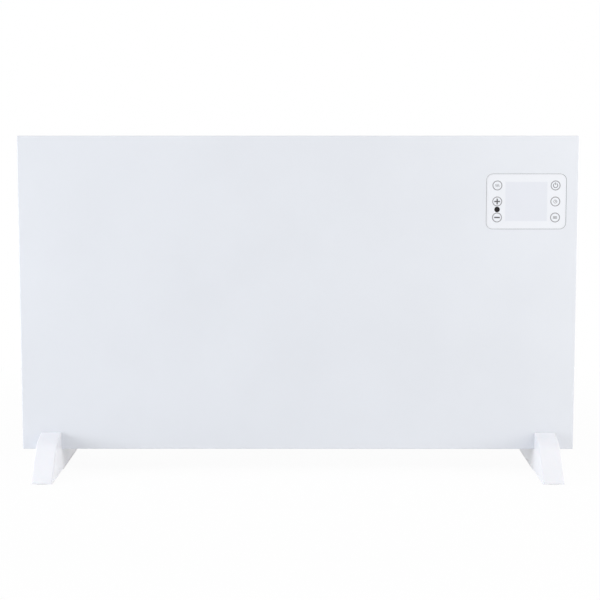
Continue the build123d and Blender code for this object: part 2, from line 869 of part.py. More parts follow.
def transformer():
    """Small supply transformer: a winding in a laminated core."""
    x, z = on_power_board(transformer_place)
    width, depth, height = transformer_size
    winding = component((winding_width, depth, winding_height), x, z)
    winding = fillet(winding.edges().filter_by(Axis.Y), winding_corner)
    return component((width, core_depth, height), x, z) + winding


def filter_capacitor():
    """Electrolytic capacitor that stands on the power board."""
    x, z = on_power_board(capacitor_place)
    can = rod_y(capacitor_radius, power_front_y - capacitor_length, power_front_y, x, z)
    return chamfer(can.faces().sort_by(Axis.Y)[0].edges(), capacitor_bevel)


def connector_places():
    """Plug-in connectors along the power board's bottom edge, in X and Z."""
    return [(x, power_bottom + connector_rise) for x in row(2, connector_pitch, control_x)]


def board_connectors():
    """Connectors for the mains and for the heater's wires."""
    return group([component(connector_size, x, z) for x, z in connector_places()])


def terminal_block():
    """Screw terminals for the supply, on the rear wall above the gland."""
    width, depth, height = terminal_size
    z = wall_bottom + terminal_height
    front = inner_rear_y - depth
    body = block(span(block_x, width), (front, inner_rear_y), (z, z + height))
    wells = [rod_y(terminal_well, front - cut, front + depth / 2, x, z + height / 2)
             for x in row(terminal_count, width / terminal_count, block_x)]
    return body - wells


def gland_bore_cut():
    """The gland's bore, right through."""
    low, high = wall_bottom - gland_drop, inner_bottom + gland_rise
    return rod_z(gland_bore, low - cut, high + cut, gland_x, housing_mid_y)


def cable_gland():
    """Mains inlet in the bottom wall: a flanged, threaded sleeve with a hexagonal cap."""
    seat = wall_bottom - gland_flange_thickness
    hexagon = Pos(gland_x, housing_mid_y, wall_bottom - gland_drop) * RegularPolygon(gland_flange, 6)
    cap = extrude(hexagon, gland_drop - gland_flange_thickness)
    flange = rod_z(gland_flange, seat, wall_bottom, gland_x, housing_mid_y)
    sleeve = rod_z(gland_body, seat, inner_bottom + gland_rise, gland_x, housing_mid_y)
    return cap + flange + sleeve - gland_bore_cut()


def gland_nut():
    """Locknut inside the housing."""
    hexagon = Pos(gland_x, housing_mid_y, inner_bottom) * RegularPolygon(gland_flange, 6)
    low, high = inner_bottom - cut, inner_bottom + gland_nut_height + cut
    return extrude(hexagon, gland_nut_height) - rod_z(gland_body, low, high, gland_x, housing_mid_y)


# ---- Mains rocker switch ----
def rocker_room():
    """Half height and half depth of the well that the rocker turns in."""
    tilt = math.radians(rocker_tilt)
    reach = rocker_half * math.cos(tilt) + rocker_rise * math.sin(tilt)
    return reach + rocker_side_gap, rocker_width / 2 + rocker_side_gap


def rocker_body(grow, low, high):
    """The switch's body from one X to another, or with a margin its cut-out."""
    half_height, half_depth = rocker_room()
    return block(
        (low, high),
        span(rocker_y, 2 * (half_depth + rocker_wall + grow)),
        span(rocker_z, 2 * (half_height + rocker_wall + grow)),
    )


def rocker_housing():
    """Snap-in switch body with a bezel, a well for the rocker and two pivot sockets."""
    half_height, half_depth = rocker_room()
    face = wall_x + bezel_thickness
    body = rocker_body(0, wall_x - rocker_body_depth, wall_x)
    bezel = rocker_body(bezel_lap, wall_x, face)
    bezel = chamfer(bezel.faces().sort_by(Axis.X)[-1].edges(), bezel_thickness / 2)
    floor = rocker_x - rocker_back - 2 * rocker_side_gap - rocker_half * math.sin(math.radians(rocker_tilt))
    well = block((floor, face + cut), span(rocker_y, 2 * half_depth), span(rocker_z, 2 * half_height))
    sockets = rod_y(
        trunnion_radius + running_clearance,
        *span(rocker_y, 2 * (half_depth + trunnion_length)),
        rocker_x,
        rocker_z,
    )
    return body + bezel - well - sockets


def power_rocker():
    """The rocker itself, tilted to OFF: a shallow V in front and a trunnion on each side."""
    back = rocker_half / 2
    points = [
        (rocker_rise, -rocker_half),
        (rocker_dip, 0),
        (rocker_rise, rocker_half),
        (0, rocker_half),
        (-rocker_back, back),
        (-rocker_back, -back),
        (0, -rocker_half),
    ]
    plane = Plane(origin=(0, rocker_width / 2, 0), x_dir=(1, 0, 0), z_dir=(0, -1, 0))
    paddle = extrude(plane * make_face(Polyline(*points, close=True)), rocker_width)
    length = rocker_width + 2 * (rocker_side_gap + trunnion_length - running_clearance)
    paddle += rod_y(trunnion_radius, -length / 2, length / 2, 0, 0)
    return Pos(rocker_x, rocker_y, rocker_z) * Rot(0, rocker_tilt, 0) * paddle


def rocker_tabs():
    """Blade terminals at the switch's back."""
    low = wall_x - rocker_body_depth - tab_length
    return group([
        block((low, low + tab_length), span(rocker_y, tab_width), span(z, tab_thickness))
        for z in row(2, tab_pitch, rocker_z)
    ])


# ---- Tip-over switch ----
def tip_switch_housing():
    """Open-fronted box on the rear wall that carries the pivot pin and the microswitch."""
    front = tip_y - tip_reach - tip_wall
    outer = block(span(tip_x, tip_width), (front, inner_rear_y), (tip_z, tip_top))
    room = block(
        span(tip_x, tip_width - 2 * tip_wall),
        (front - cut, inner_rear_y - tip_wall),
        (tip_z + tip_wall, tip_top - tip_wall),
    )
    return outer - [room, rod_x(pin_radius, *span(tip_x, tip_width + cut), tip_y, pin_z)]


def tip_switch_pin():
    """Steel pivot pin across the box."""
    return rod_x(pin_radius, *span(tip_x, tip_width), tip_y, pin_z)


def tip_pendulum():
    """Weighted pendulum that hangs plumb from the pin."""
    hub = rod_x(hub_radius, *span(tip_x, hub_length), tip_y, pin_z)
    low = pin_z - pendulum_length
    arm = block(span(tip_x, arm_thickness), span(tip_y, arm_width), (low, pin_z))
    weight = rod_x(weight_radius, *span(tip_x, weight_length), tip_y, low)
    weight = chamfer(weight.edges().filter_by(GeomType.CIRCLE), weight_bevel)
    bore = rod_x(pin_radius + running_clearance, *span(tip_x, hub_length + cut), tip_y, pin_z)
    return hub + arm + weight - bore


def tip_microswitch():
    """Microswitch over the pendulum's hub, hung from the box's roof."""
    width, depth, height = microswitch_size
    roof = tip_top - tip_wall
    body = block(span(tip_x, width), span(tip_y, depth), (roof - height, roof))
    tip = pin_z + hub_radius + seat_clearance
    return body + rod_z(plunger_radius, tip, roof - height + plunger_length, tip_x, tip_y)


# ---- Heating ----
def duct_bores():
    """Holes in the duct's right leg for the wires and for the cut-out's terminals."""
    low, high = duct_right - sheet - cut, duct_right + cut
    wires = rod_x(grommet_radius, low, high, element_y, element_z)
    return [wires, rod_x(cutout_neck, low, high, element_y, element_z + cutout_rise)]


def air_duct():
    """Folded sheet in front of the element that leads the air up, riveted to the rear wall."""
    z = (duct_bottom, duct_top)
    front = block((duct_left, duct_right), (duct_y, duct_y + sheet), z)
    legs = [block((x, x + sheet), (duct_y, inner_rear_y), z) for x in (duct_left, duct_right - sheet)]
    back = (inner_rear_y - sheet, inner_rear_y)
    folds = [block((duct_left - fold_width, duct_left + sheet), back, z),
             block((duct_right - sheet, duct_right + fold_width), back, z)]
    rivets_through = rivet_bores(inner_rear_y - sheet - cut, inner_rear_y + cut)
    return front + legs + folds - [*duct_bores(), *rivets_through]


def reflector():
    """Bright foil sheet on the rear wall, above the element."""
    low = element_z + bracket_height / 2 + reflector_gap
    return block(
        (duct_left + reflector_gap, duct_right - reflector_gap),
        (inner_rear_y - reflector_thickness, inner_rear_y),
        (low, low + reflector_height),
    )


def element_brackets():
    """Two folded brackets that hold the element's ends."""
    z = span(element_z, bracket_height)
    brackets = []
    for x in bracket_xs:
        web = block(span(x, sheet), (element_y - bracket_front, inner_rear_y), z)
        fold = block((x - sheet / 2, x + fold_width), (inner_rear_y - sheet, inner_rear_y), z)
        bore = rod_x(bush_radius + fit_gap, x - sheet, x + sheet, element_y, element_z)
        brackets.append(web + fold - [bore, *rivet_bores(inner_rear_y - sheet - cut, inner_rear_y + cut)])
    return group(brackets)


def element_bushes():
    """Ceramic bushes that carry the core in the brackets."""
    bushes = []
    for x in bracket_xs:
        neck = rod_x(bush_radius, *span(x, sheet), element_y, element_z)
        left = rod_x(bush_flange, x - bush_end, x - sheet / 2, element_y, element_z)
        right = rod_x(bush_flange, x + sheet / 2, x + bush_end, element_y, element_z)
        bore_length = 2 * (bush_end + cut)
        bore = rod_x(core_radius + running_clearance, *span(x, bore_length), element_y, element_z)
        bushes.append(neck + left + right - bore)
    return group(bushes)


def heating_element():
    """Aluminium extrusion with four wings, slit into fins along its length."""
    low, high = bracket_xs[0] + bush_end, bracket_xs[1] - bush_end
    hub = rod_x(core_radius + hub_wall, low, high, element_y, element_z)
    wing = Box(high - low, 2 * fin_reach, fin_thickness)
    middle = Pos((low + high) / 2, element_y, element_z)
    profile = hub + [middle * Rot(angle, 0, 0) * wing for angle in (wing_angle, -wing_angle)]
    count = int((high - low - fin_slit_pitch) // fin_slit_pitch)
    slits = []
    for x in row(count, fin_slit_pitch, (low + high) / 2):
        ring = rod_x(fin_reach + cut, *span(x, fin_slit), element_y, element_z)
        slits.append(ring - rod_x(fin_root, *span(x, fin_slit + cut), element_y, element_z))
    bore = rod_x(core_radius + running_clearance, low - cut, high + cut, element_y, element_z)
    return profile - [*slits, bore]


def core_ends():
    """Where the core ends, left and right."""
    return (bracket_xs[0] - bush_end - core_end, bracket_xs[1] + bush_end + core_end)


def element_core():
    """Sheathed heating rod through the extrusion and both bushes."""
    return rod_x(core_radius, *core_ends(), element_y, element_z)


def element_terminals():
    """Insulated caps on the core's ends."""
    left, right = core_ends()
    socket = rod_x(core_radius + running_clearance, left, right, element_y, element_z)
    return group([
        rod_x(terminal_cap_radius, *span(end, terminal_cap_length), element_y, element_z) - socket
        for end in (left, right)
    ])


def thermal_cutout():
    """Bimetal disc on the duct's right leg, above the element."""
    z = element_z + cutout_rise
    inner = duct_right - sheet
    disc = rod_x(cutout_radius, inner - cutout_height, inner - sheet, element_y, z)
    ears = block((inner - sheet, inner), span(element_y, cutout_ears), span(z, cutout_ear_height))
    stub = rod_x(cutout_neck - fit_gap, inner - sheet, duct_right + 2 * sheet, element_y, z)
    return disc + ears + stub


def thermal_fuse():
    """Fuse cartridge held in its clip."""
    x = duct_right - sheet - 2 * fuse_radius
    z = element_z + fuse_rise
    return rod_z(fuse_radius, *span(z, fuse_length), x, element_y)


def fuse_clip():
    """Spring clip on the duct's leg that holds the fuse."""
    x = duct_right - sheet - 2 * fuse_radius
    z = element_z + fuse_rise
    reach = (x - fuse_grip, duct_right - sheet)
    body = block(reach, span(element_y, fuse_clip_width), span(z, fuse_clip_height))
    return body - rod_z(fuse_radius, *span(z, fuse_length), x, element_y)


def temperature_sensor():
    """Room-air sensor bead that stands on the bottom wall, between the slots."""
    bead = rod_z(sensor_radius, inner_bottom, inner_bottom + sensor_length, sensor_x, housing_mid_y)
    return fillet(bead.faces().sort_by(Axis.Z)[-1].edges(), sensor_radius / 2)


# ---- Wires ----
def wire(radius, points, bend):
    """A held wire: straight runs joined by arcs."""
    line = FilletPolyline(*points, radius=bend)
    start = Plane(origin=line @ 0, z_dir=line % 0)
    return sweep(start * Circle(radius), path=line)


def clip_places():
    """Clips along the bottom wall that hold the element's far wire."""
    return row(clip_count, (duct_right - duct_left) / clip_count, (duct_left + duct_right) / 2)


def wire_clips():
    """Nylon posts on the bottom wall with an eye for the wire."""
    clips = []
    for x in clip_places():
        top = low_wire_z + 2 * wire_radius
        post = block(span(x, clip_width), span(housing_mid_y, clip_width), (inner_bottom, top))
        eye = rod_x(wire_radius + fit_gap, *span(x, clip_width + cut), housing_mid_y, low_wire_z)
        clips.append(post - eye)
    return group(clips)


def element_wires():
    """Wires from the element's two ends, through the partition and up to the power board."""
    left, right = core_ends()
    near = right + terminal_cap_length / 2
    far = left - terminal_cap_length / 2
    x, z = connector_places()[0]
    top = z - connector_size[2] / 2
    y = power_front_y - connector_size[1] / 2
    turn = duct_left + terminal_cap_radius
    wires = []
    for lane, start in (
        (-1, [(near, element_y, element_z)]),
        (1, [(far, element_y, element_z), (turn, element_y, element_z), (turn, housing_mid_y, low_wire_z)]),
    ):
        riser = riser_x + lane * 2 * wire_radius
        end = x + lane * 2 * wire_radius
        across = [(riser, start[-1][1], start[-1][2]), (riser, y, top - 4 * wire_bend)]
        upward = [(end, y, top - 2 * wire_bend), (end, y, top)]
        wires.append(wire(wire_radius, [*start, *across, *upward], wire_bend / 2))
    return group(wires)


def supply_wires():
    """Wires from the terminal block to the rocker switch and on to the power board."""
    block_top = wall_bottom + terminal_height + terminal_size[2]
    block_y = inner_rear_y - terminal_size[1] / 2
    tab_x = wall_x - rocker_body_depth - tab_length
    low_tab, high_tab = row(2, tab_pitch, rocker_z)
    x, z = connector_places()[1]
    top = z - connector_size[2] / 2
    y = power_front_y - connector_size[1] / 2
    bend_x = tab_x - 2 * wire_bend
    feed = [
        (block_x, block_y, block_top),
        (block_x, block_y, block_top + 2 * wire_bend),
        (bend_x, rocker_y, low_tab - wire_bend),
        (bend_x + wire_bend, rocker_y, low_tab),
        (tab_x, rocker_y, low_tab),
    ]
    switched = [
        (tab_x, rocker_y, high_tab),
        (bend_x + wire_bend, rocker_y, high_tab),
        (x, y, high_tab + wire_bend),
        (x, y, top),
    ]
    return group([wire(wire_radius, feed, wire_bend / 2), wire(wire_radius, switched, wire_bend / 3)])


def control_ribbon():
    """Flat cable from the power board's top edge into the control tray."""
    z = control_z - ribbon_drop
    y = power_front_y - ribbon_thickness / 2
    end_y = board_y + board_thickness
    points = [(control_x, y, power_top - wire_bend), (control_x, y, z), (control_x, end_y, z)]
    line = FilletPolyline(*points, radius=wire_bend / 2)
    start = Plane(origin=line @ 0, x_dir=(1, 0, 0), z_dir=line % 0)
    return sweep(start * Rectangle(ribbon_width, ribbon_thickness), path=line)


def sensor_lead():
    """Thin lead from the room-air sensor, up the rear wall to the power board's bottom edge."""
    top = inner_bottom + sensor_length
    wall_y = inner_rear_y - sheet - 2 * lead_radius
    end_y = power_y - board_thickness / 2
    points = [
        (sensor_x, housing_mid_y, top),
        (sensor_x, housing_mid_y, top + wire_bend),
        (sensor_x - wire_bend / 2, wall_y, top + 3 * wire_bend),
        (sensor_x - wire_bend / 2, wall_y, power_bottom - 2 * wire_bend),
        (sensor_x - wire_bend / 2, end_y, power_bottom - wire_bend),
        (sensor_x - wire_bend / 2, end_y, power_bottom),
    ]
    return wire(lead_radius, points, wire_bend / 2)


NODES = {
    "front_panel": front_panel,
    "rear_housing": rear_housing,
    "housing_screws": housing_screws,
    "rivets": rivets,
    "outlet_grille": outlet_grille,
    "left_foot": lambda: foot(-foot_x),
    "right_foot": lambda: foot(foot_x),
    "left_foot_pads": lambda: foot_pads(-foot_x),
    "right_foot_pads": lambda: foot_pads(foot_x),
    "foot_screws": foot_screws,
    "foot_plates": foot_plates,
    "fascia_overlay": fascia_overlay,
    "control_fascia": control_fascia,
    "fascia_gasket": fascia_gasket,
    "ir_window": ir_window,
    "display_module": display_module,
    "control_tray": control_tray,
    "control_board": control_board,
    "touch_springs": touch_springs,
    "ir_receiver": ir_receiver,
    "buzzer": buzzer,
    "control_nuts": control_nuts,
    "partition": partition,
    "partition_grommets": partition_grommets,
    "power_board": power_board,
    "board_spacers": board_spacers,
    "board_screws": board_screws,
    "power_relays": power_relays,
    "transformer": transformer,
    "filter_capacitor": filter_capacitor,
    "board_connectors": board_connectors,
    "terminal_block": terminal_block,
    "cable_gland": cable_gland,
    "gland_nut": gland_nut,
    "rocker_housing": rocker_housing,
    "power_rocker": power_rocker,
    "rocker_tabs": rocker_tabs,
    "tip_switch_housing": tip_switch_housing,
    "tip_switch_pin": tip_switch_pin,
    "tip_pendulum": tip_pendulum,
    "tip_microswitch": tip_microswitch,
    "air_duct": air_duct,
    "reflector": reflector,
    "element_brackets": element_brackets,
    "element_bushes": element_bushes,
    "heating_element": heating_element,
    "element_core": element_core,
    "element_terminals": element_terminals,
    "thermal_cutout": thermal_cutout,
    "thermal_fuse": thermal_fuse,
    "fuse_clip": fuse_clip,
    "temperature_sensor": temperature_sensor,
    "wire_clips": wire_clips,
    "element_wires": element_wires,
    "supply_wires": supply_wires,
    "control_ribbon": control_ribbon,
    "sensor_lead": sensor_lead,
}

os.makedirs("parts", exist_ok=True)
for name, make in NODES.items():
    export_step(make(), f"parts/{name}.step")
    print(name)
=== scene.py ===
# %% [markdown]
# # Dressing a panel convector heater
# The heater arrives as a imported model: every sheet, moulding, screw and wire already has its shape and
# place. Nothing of that is moved here. This lesson gives each piece its finish, prints the touch keys, adds
# the screw and rivet heads that a camera can see, and sets up a pale studio round the heater.
# All lengths are in metres. X runs to the right, Y to the back and Z up from the floor.

# %% Load the heater and keep its box
import json
import math

import bmesh
import bpy
from mathutils import Matrix, Vector


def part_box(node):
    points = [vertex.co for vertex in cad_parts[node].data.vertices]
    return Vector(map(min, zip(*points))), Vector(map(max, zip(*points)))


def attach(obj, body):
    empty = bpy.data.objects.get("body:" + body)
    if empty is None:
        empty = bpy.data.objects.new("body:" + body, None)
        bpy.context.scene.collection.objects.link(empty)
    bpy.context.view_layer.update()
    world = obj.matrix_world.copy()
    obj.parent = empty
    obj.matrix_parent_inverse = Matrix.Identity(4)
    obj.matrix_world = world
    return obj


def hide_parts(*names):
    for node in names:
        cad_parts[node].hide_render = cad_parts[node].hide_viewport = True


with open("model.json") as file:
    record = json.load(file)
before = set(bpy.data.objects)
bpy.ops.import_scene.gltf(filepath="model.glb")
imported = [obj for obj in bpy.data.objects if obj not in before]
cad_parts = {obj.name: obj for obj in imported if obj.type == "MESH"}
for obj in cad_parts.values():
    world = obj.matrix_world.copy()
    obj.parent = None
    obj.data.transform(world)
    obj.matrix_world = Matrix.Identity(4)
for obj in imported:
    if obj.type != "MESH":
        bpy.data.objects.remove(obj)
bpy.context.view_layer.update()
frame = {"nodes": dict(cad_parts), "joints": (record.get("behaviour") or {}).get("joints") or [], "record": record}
scene = bpy.context.scene
scene.view_settings.view_transform = "Standard"

# %% [markdown]
# ## The camera
# The picture was taken from in front, a little above the heater's top edge and looking slightly down.
# Such a view could be found by eye. Fitting it is surer: the place and the lens were changed until the
# front panel's four corners and both feet fell where the picture has them, with the panel taken as 0.8 m
# wide. The lens came out long, which is why the panel's sides stay almost parallel.

# %% Camera
camera_place = (0.007, -2.2497, 0.5007)
look_down = math.radians(6.43)
look_left = math.radians(0.10)

lens = bpy.data.cameras.new("camera")
lens.sensor_width = 36
lens.lens = 93.16
camera = bpy.data.objects.new("camera", lens)
camera.location = camera_place
camera.rotation_euler = (math.radians(90) - look_down, 0, look_left)
scene.collection.objects.link(camera)
scene.camera = camera
print("camera", camera_place, "lens", lens.lens)

# %% [markdown]
# ## Small functions for shaders
# A Blender shader is a net of small nodes. The net could be drawn by hand in the shader editor. Here a
# short function makes each kind of node, so that the floor, the light and all the finishes below can share
# them and a finish reads like a recipe. Every finish starts from the Principled shader, and the numbers
# that are the same all over a piece are set straight on it.

# %% Shader helpers
def new_finish(name, colour, roughness, metallic=0.0):
    """A material with its even numbers set. Returns it with its node tree and its shader."""
    material = bpy.data.materials.new(name)
    material.use_nodes = True
    tree = material.node_tree
    shader = tree.nodes["Principled BSDF"]
    shader.inputs["Base Color"].default_value = (*colour, 1)
    shader.inputs["Roughness"].default_value = roughness
    shader.inputs["Metallic"].default_value = metallic
    return material, tree, shader


def joined(tree, operation, first, second):
    """Joins two values by one sum, such as MULTIPLY or MAXIMUM."""
    node = tree.nodes.new("ShaderNodeMath")
    node.operation = operation
    tree.links.new(first, node.inputs[0])
    tree.links.new(second, node.inputs[1])
    return node.outputs["Value"]


def rescaled(tree, value, source, target=(0, 1), curve="LINEAR"):
    """Maps a value from one range to another. Past the first range it stays at the ends of the second."""
    node = tree.nodes.new("ShaderNodeMapRange")
    node.interpolation_type = curve
    node.inputs["From Min"].default_value = source[0]
    node.inputs["From Max"].default_value = source[1]
    node.inputs["To Min"].default_value = target[0]
    node.inputs["To Max"].default_value = target[1]
    tree.links.new(value, node.inputs["Value"])
    return node.outputs["Result"]


def mixed(tree, share, first, second):
    """Mixes two shaders. A share of 0 gives the first one and a share of 1 the second."""
    node = tree.nodes.new("ShaderNodeMixShader")
    tree.links.new(share, node.inputs["Fac"])
    tree.links.new(first, node.inputs[1])
    tree.links.new(second, node.inputs[2])
    return node.outputs["Shader"]


print("shader helpers ready")

# %% [markdown]
# ## How far a point lies past an edge
# Two things in this scene follow a rectangle: the strip of floor under each foot, and the display behind
# the film. Both are painted by one value, the distance past the rectangle's edge. It is the larger of the
# distances in two directions, which keeps the corners square. A plain distance from the middle would be
# simpler, but it would give a disc.

# %% Distance past a rectangle
def past_edge(tree, middle, half, other_axis):
    """How far a point lies past a rectangle in X and one other axis, in metres. Inside, it is negative."""
    place = tree.nodes.new("ShaderNodeTexCoord")
    step = place.outputs["Object"]
    for operation, amount in (("SUBTRACT", middle), ("ABSOLUTE", None), ("SUBTRACT", half)):
        node = tree.nodes.new("ShaderNodeVectorMath")
        node.operation = operation
        tree.links.new(step, node.inputs[0])
        if amount is not None:
            node.inputs[1].default_value = amount
        step = node.outputs["Vector"]
    parts = tree.nodes.new("ShaderNodeSeparateXYZ")
    tree.links.new(step, parts.inputs["Vector"])
    return joined(tree, "MAXIMUM", parts.outputs["X"], parts.outputs[other_axis])


print("rectangle helper ready")

# %% [markdown]
# ## A page that stays white
# Round the heater the picture is plain white. More light on a white wall would give that, but it would
# burn out the heater's own whites too. A shader can ask what kind of ray looks at it. So the page is painted
# white only for the camera, for glossy pieces that mirror it, and for what is seen through clear plastic.
# All other rays, the ones that carry light from wall to wall, meet real paper or a real room.

# %% White page
page_white = (1.0, 1.0, 1.0, 1.0)


def seen_by_camera_or_mirror(tree):
    """A value of 1 for what the camera, a glossy piece or clear plastic sees."""
    path = tree.nodes.new("ShaderNodeLightPath")
    either = joined(tree, "MAXIMUM", path.outputs["Is Camera Ray"], path.outputs["Is Glossy Ray"])
    return joined(tree, "MAXIMUM", either, path.outputs["Is Transmission Ray"])


print("page colour", page_white)

# %% [markdown]
# ## Floor
# The heater stands on white paper. A sheet that curves up into a wall could be modelled, but the picture
# shows no curve, so the floor is one large flat sheet. What the camera sees of it is mostly the white page,
# and a small share of the real paper keeps a soft trace of the shadows. Under the rear half of each foot the
# paper stays all real, because there the picture shows the gap below the foot as a thin dark line.

# %% Floor
paper_white = (0.9, 0.9, 0.9)
page_share = 0.94
page_fade = (0.5, 1.1)  # between these distances the page takes over from the paper
foot_rim = 0.0003
dark_gap_from = -0.02
floor_size = 30


def outside_foot(tree, foot):
    """A value of 0 under the rear half of a foot and 1 everywhere else."""
    low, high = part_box(foot)
    low.y = dark_gap_from
    distance = past_edge(tree, (low + high) / 2, (high - low) / 2, "Y")
    return rescaled(tree, distance, (-foot_rim, 0))


def white_paper(name):
    """Matt paper. The camera sees it as the white page, by a share that grows to all of it far away."""
    material, tree, paper = new_finish(name, paper_white, roughness=0.9)
    paper.inputs["Specular IOR Level"].default_value = 0.1
    page = tree.nodes.new("ShaderNodeEmission")
    page.inputs["Color"].default_value = page_white
    place = tree.nodes.new("ShaderNodeTexCoord")
    distance = tree.nodes.new("ShaderNodeVectorMath")
    distance.operation = "LENGTH"
    tree.links.new(place.outputs["Object"], distance.inputs[0])
    share = rescaled(tree, distance.outputs["Value"], page_fade, (page_share, 1))
    share = joined(tree, "MULTIPLY", seen_by_camera_or_mirror(tree), share)
    for foot in ("left_foot", "right_foot"):
        share = joined(tree, "MULTIPLY", share, outside_foot(tree, foot))
    surface = mixed(tree, share, paper.outputs["BSDF"], page.outputs["Emission"])
    tree.links.new(surface, tree.nodes["Material Output"].inputs["Surface"])
    return material


bpy.ops.mesh.primitive_plane_add(size=floor_size, location=(0, 0, 0))
floor = bpy.context.object
floor.name = "floor"
floor.data.materials.append(white_paper("white_paper"))
print("floor", tuple(round(v, 1) for v in floor.dimensions))

# %% [markdown]
# ## White walls all round
# A studio for such pictures has white walls, which light the heater softly from every side. Walls could be
# modelled, but Blender's world shines from all directions by itself. Its level is set so that white paint
# looks white and doesn't burn out. The camera sees the white page in its place.

# %% White surround
surround_level = 0.62


def white_surround(level):
    """A white room: its light is held at a level, but the camera sees it as the white page."""
    world = bpy.data.worlds.new("white_surround")
    world.use_nodes = True
    tree = world.node_tree
    light = tree.nodes["Background"]
    light.inputs["Color"].default_value = page_white
    light.inputs["Strength"].default_value = level
    page = tree.nodes.new("ShaderNodeBackground")
    page.inputs["Color"].default_value = page_white
    seen = seen_by_camera_or_mirror(tree)
    surface = mixed(tree, seen, light.outputs["Background"], page.outputs["Background"])
    tree.links.new(surface, tree.nodes["World Output"].inputs["Surface"])
    return world


scene.world = white_surround(surround_level)
print("surround level", surround_level)

# %% [markdown]
# ## Softboxes
# In the picture the panel is a little brighter near both ends than in the middle, and the left foot throws
# a soft shadow to the right. One lamp near the camera would give neither. So a tall softbox stands at each
# side, the left one stronger and slightly cool, the right one warmer. A small one high on the left
# brightens the tops of the feet, and a small one on the right brightens the panel round the controls.

# %% Softboxes
cool_light = (0.97, 0.985, 1.0)
warm_light = (1.0, 0.975, 0.93)


def softbox(name, place, aim, size, watts, colour):
    """A lamp of a width and a height, which points from its place to a spot on the heater."""
    lamp = bpy.data.lights.new(name, "AREA")
    lamp.shape = "RECTANGLE"
    lamp.size, lamp.size_y = size
    lamp.energy = watts
    lamp.color = colour
    holder = bpy.data.objects.new(name, lamp)
    holder.location = place
    holder.rotation_euler = (Vector(aim) - Vector(place)).to_track_quat("-Z", "Y").to_euler()
    scene.collection.objects.link(holder)
    print(name, watts, "W, size", size)


softbox(
    "left_softbox",
    place=(-2.4, -0.9, 0.6),
    aim=(-0.2, 0, 0.2),
    size=(0.6, 1.2),
    watts=30.5,
    colour=cool_light,
)
softbox(
    "right_softbox",
    place=(2.4, -0.9, 0.6),
    aim=(0.2, 0, 0.2),
    size=(1.0, 1.4),
    watts=20,
    colour=warm_light,
)
softbox(
    "upper_left_softbox",
    place=(-1.2, -0.35, 1.8),
    aim=(-0.35, -0.1, 0),
    size=(0.8, 0.4),
    watts=4.5,
    colour=cool_light,
)
softbox(
    "upper_right_softbox",
    place=(1.1, -0.7, 1.0),
    aim=(0.4, 0, 0.3),
    size=(0.5, 0.5),
    watts=3.4,
    colour=warm_light,
)

# %% [markdown]
# ## Noise with a real size
# Real surfaces are never even. Photographs of them could be wrapped round each piece, but they stretch and
# repeat. Noise that is worked out in space does neither. It reads the piece's own coordinates, which are in
# metres, so a lump has a real size, and it stays in its place when the piece or the camera moves.

# %% Noise
def place_on_piece(tree, stretch=(1, 1, 1)):
    """The piece's own coordinates, in metres, squeezed or stretched along an axis."""
    place = tree.nodes.new("ShaderNodeTexCoord")
    mapping = tree.nodes.new("ShaderNodeMapping")
    mapping.inputs["Scale"].default_value = stretch
    tree.links.new(place.outputs["Object"], mapping.inputs["Vector"])
    return mapping.outputs["Vector"]


def noise(tree, lump_size, stretch=(1, 1, 1), detail=2.0):
    """Noise whose lumps have a real size in metres."""
    texture = tree.nodes.new("ShaderNodeTexNoise")
    texture.inputs["Scale"].default_value = 1 / lump_size
    texture.inputs["Detail"].default_value = detail
    tree.links.new(place_on_piece(tree, stretch), texture.inputs["Vector"])
    return texture.outputs["Fac"]


print("noise ready")

# %% [markdown]
# ## Grain, drift and gloss
# The eye takes three things as signs of a real surface: a fine grain in the height, a slow drift in the
# colour, and a change in the gloss. The grain could be cut into the mesh, but that would take millions of
# faces. A bump does the same for the light alone. Each of the three is one short function here.

# %% Grain, drift and gloss
def add_grain(tree, shader, height, depth):
    """Lets a height pattern raise the surface by a real depth in metres."""
    bump = tree.nodes.new("ShaderNodeBump")
    bump.inputs["Distance"].default_value = depth
    bump.inputs["Strength"].default_value = 1.0
    tree.links.new(height, bump.inputs["Height"])
    tree.links.new(bump.outputs["Normal"], shader.inputs["Normal"])


def add_two_colours(tree, shader, pattern, first, second, low=0.35, high=0.65):
    """Drifts the colour from one tone to another as a pattern rises from low to high."""
    ramp = tree.nodes.new("ShaderNodeValToRGB")
    ramp.color_ramp.elements[0].position = low
    ramp.color_ramp.elements[0].color = (*first, 1)
    ramp.color_ramp.elements[1].position = high
    ramp.color_ramp.elements[1].color = (*second, 1)
    tree.links.new(pattern, ramp.inputs["Fac"])
    tree.links.new(ramp.outputs["Color"], shader.inputs["Base Color"])


def add_gloss_drift(tree, shader, pattern, shiny, dull):
    """Drifts the roughness between two values by a pattern."""
    roughness = rescaled(tree, pattern, (0, 1), (shiny, dull))
    tree.links.new(roughness, shader.inputs["Roughness"])


def lighter(colour, factor):
    """The same colour, made lighter or darker by a factor and kept under 1."""
    return tuple(min(1.0, part * factor) for part in colour)


print("mid grey, a tenth darker, is", lighter((0.5, 0.5, 0.5), 0.9))

# %% [markdown]
# ## White powder coat
# The front panel and the housing are steel, sprayed with white powder and baked. The powder melts into a
# satin skin with a very shallow ripple, called orange peel, about a millimetre across. A plain white shader
# would look like paper. So the ripple is a bump, 0.01 mm deep on the front and a little deeper on the
# housing, which shows in a highlight and nowhere else.

# %% Powder coat
panel_white = (0.726, 0.750, 0.800)
housing_white = (0.760, 0.780, 0.815)
paint_drift = 0.01
paint_gloss_spread = 0.03


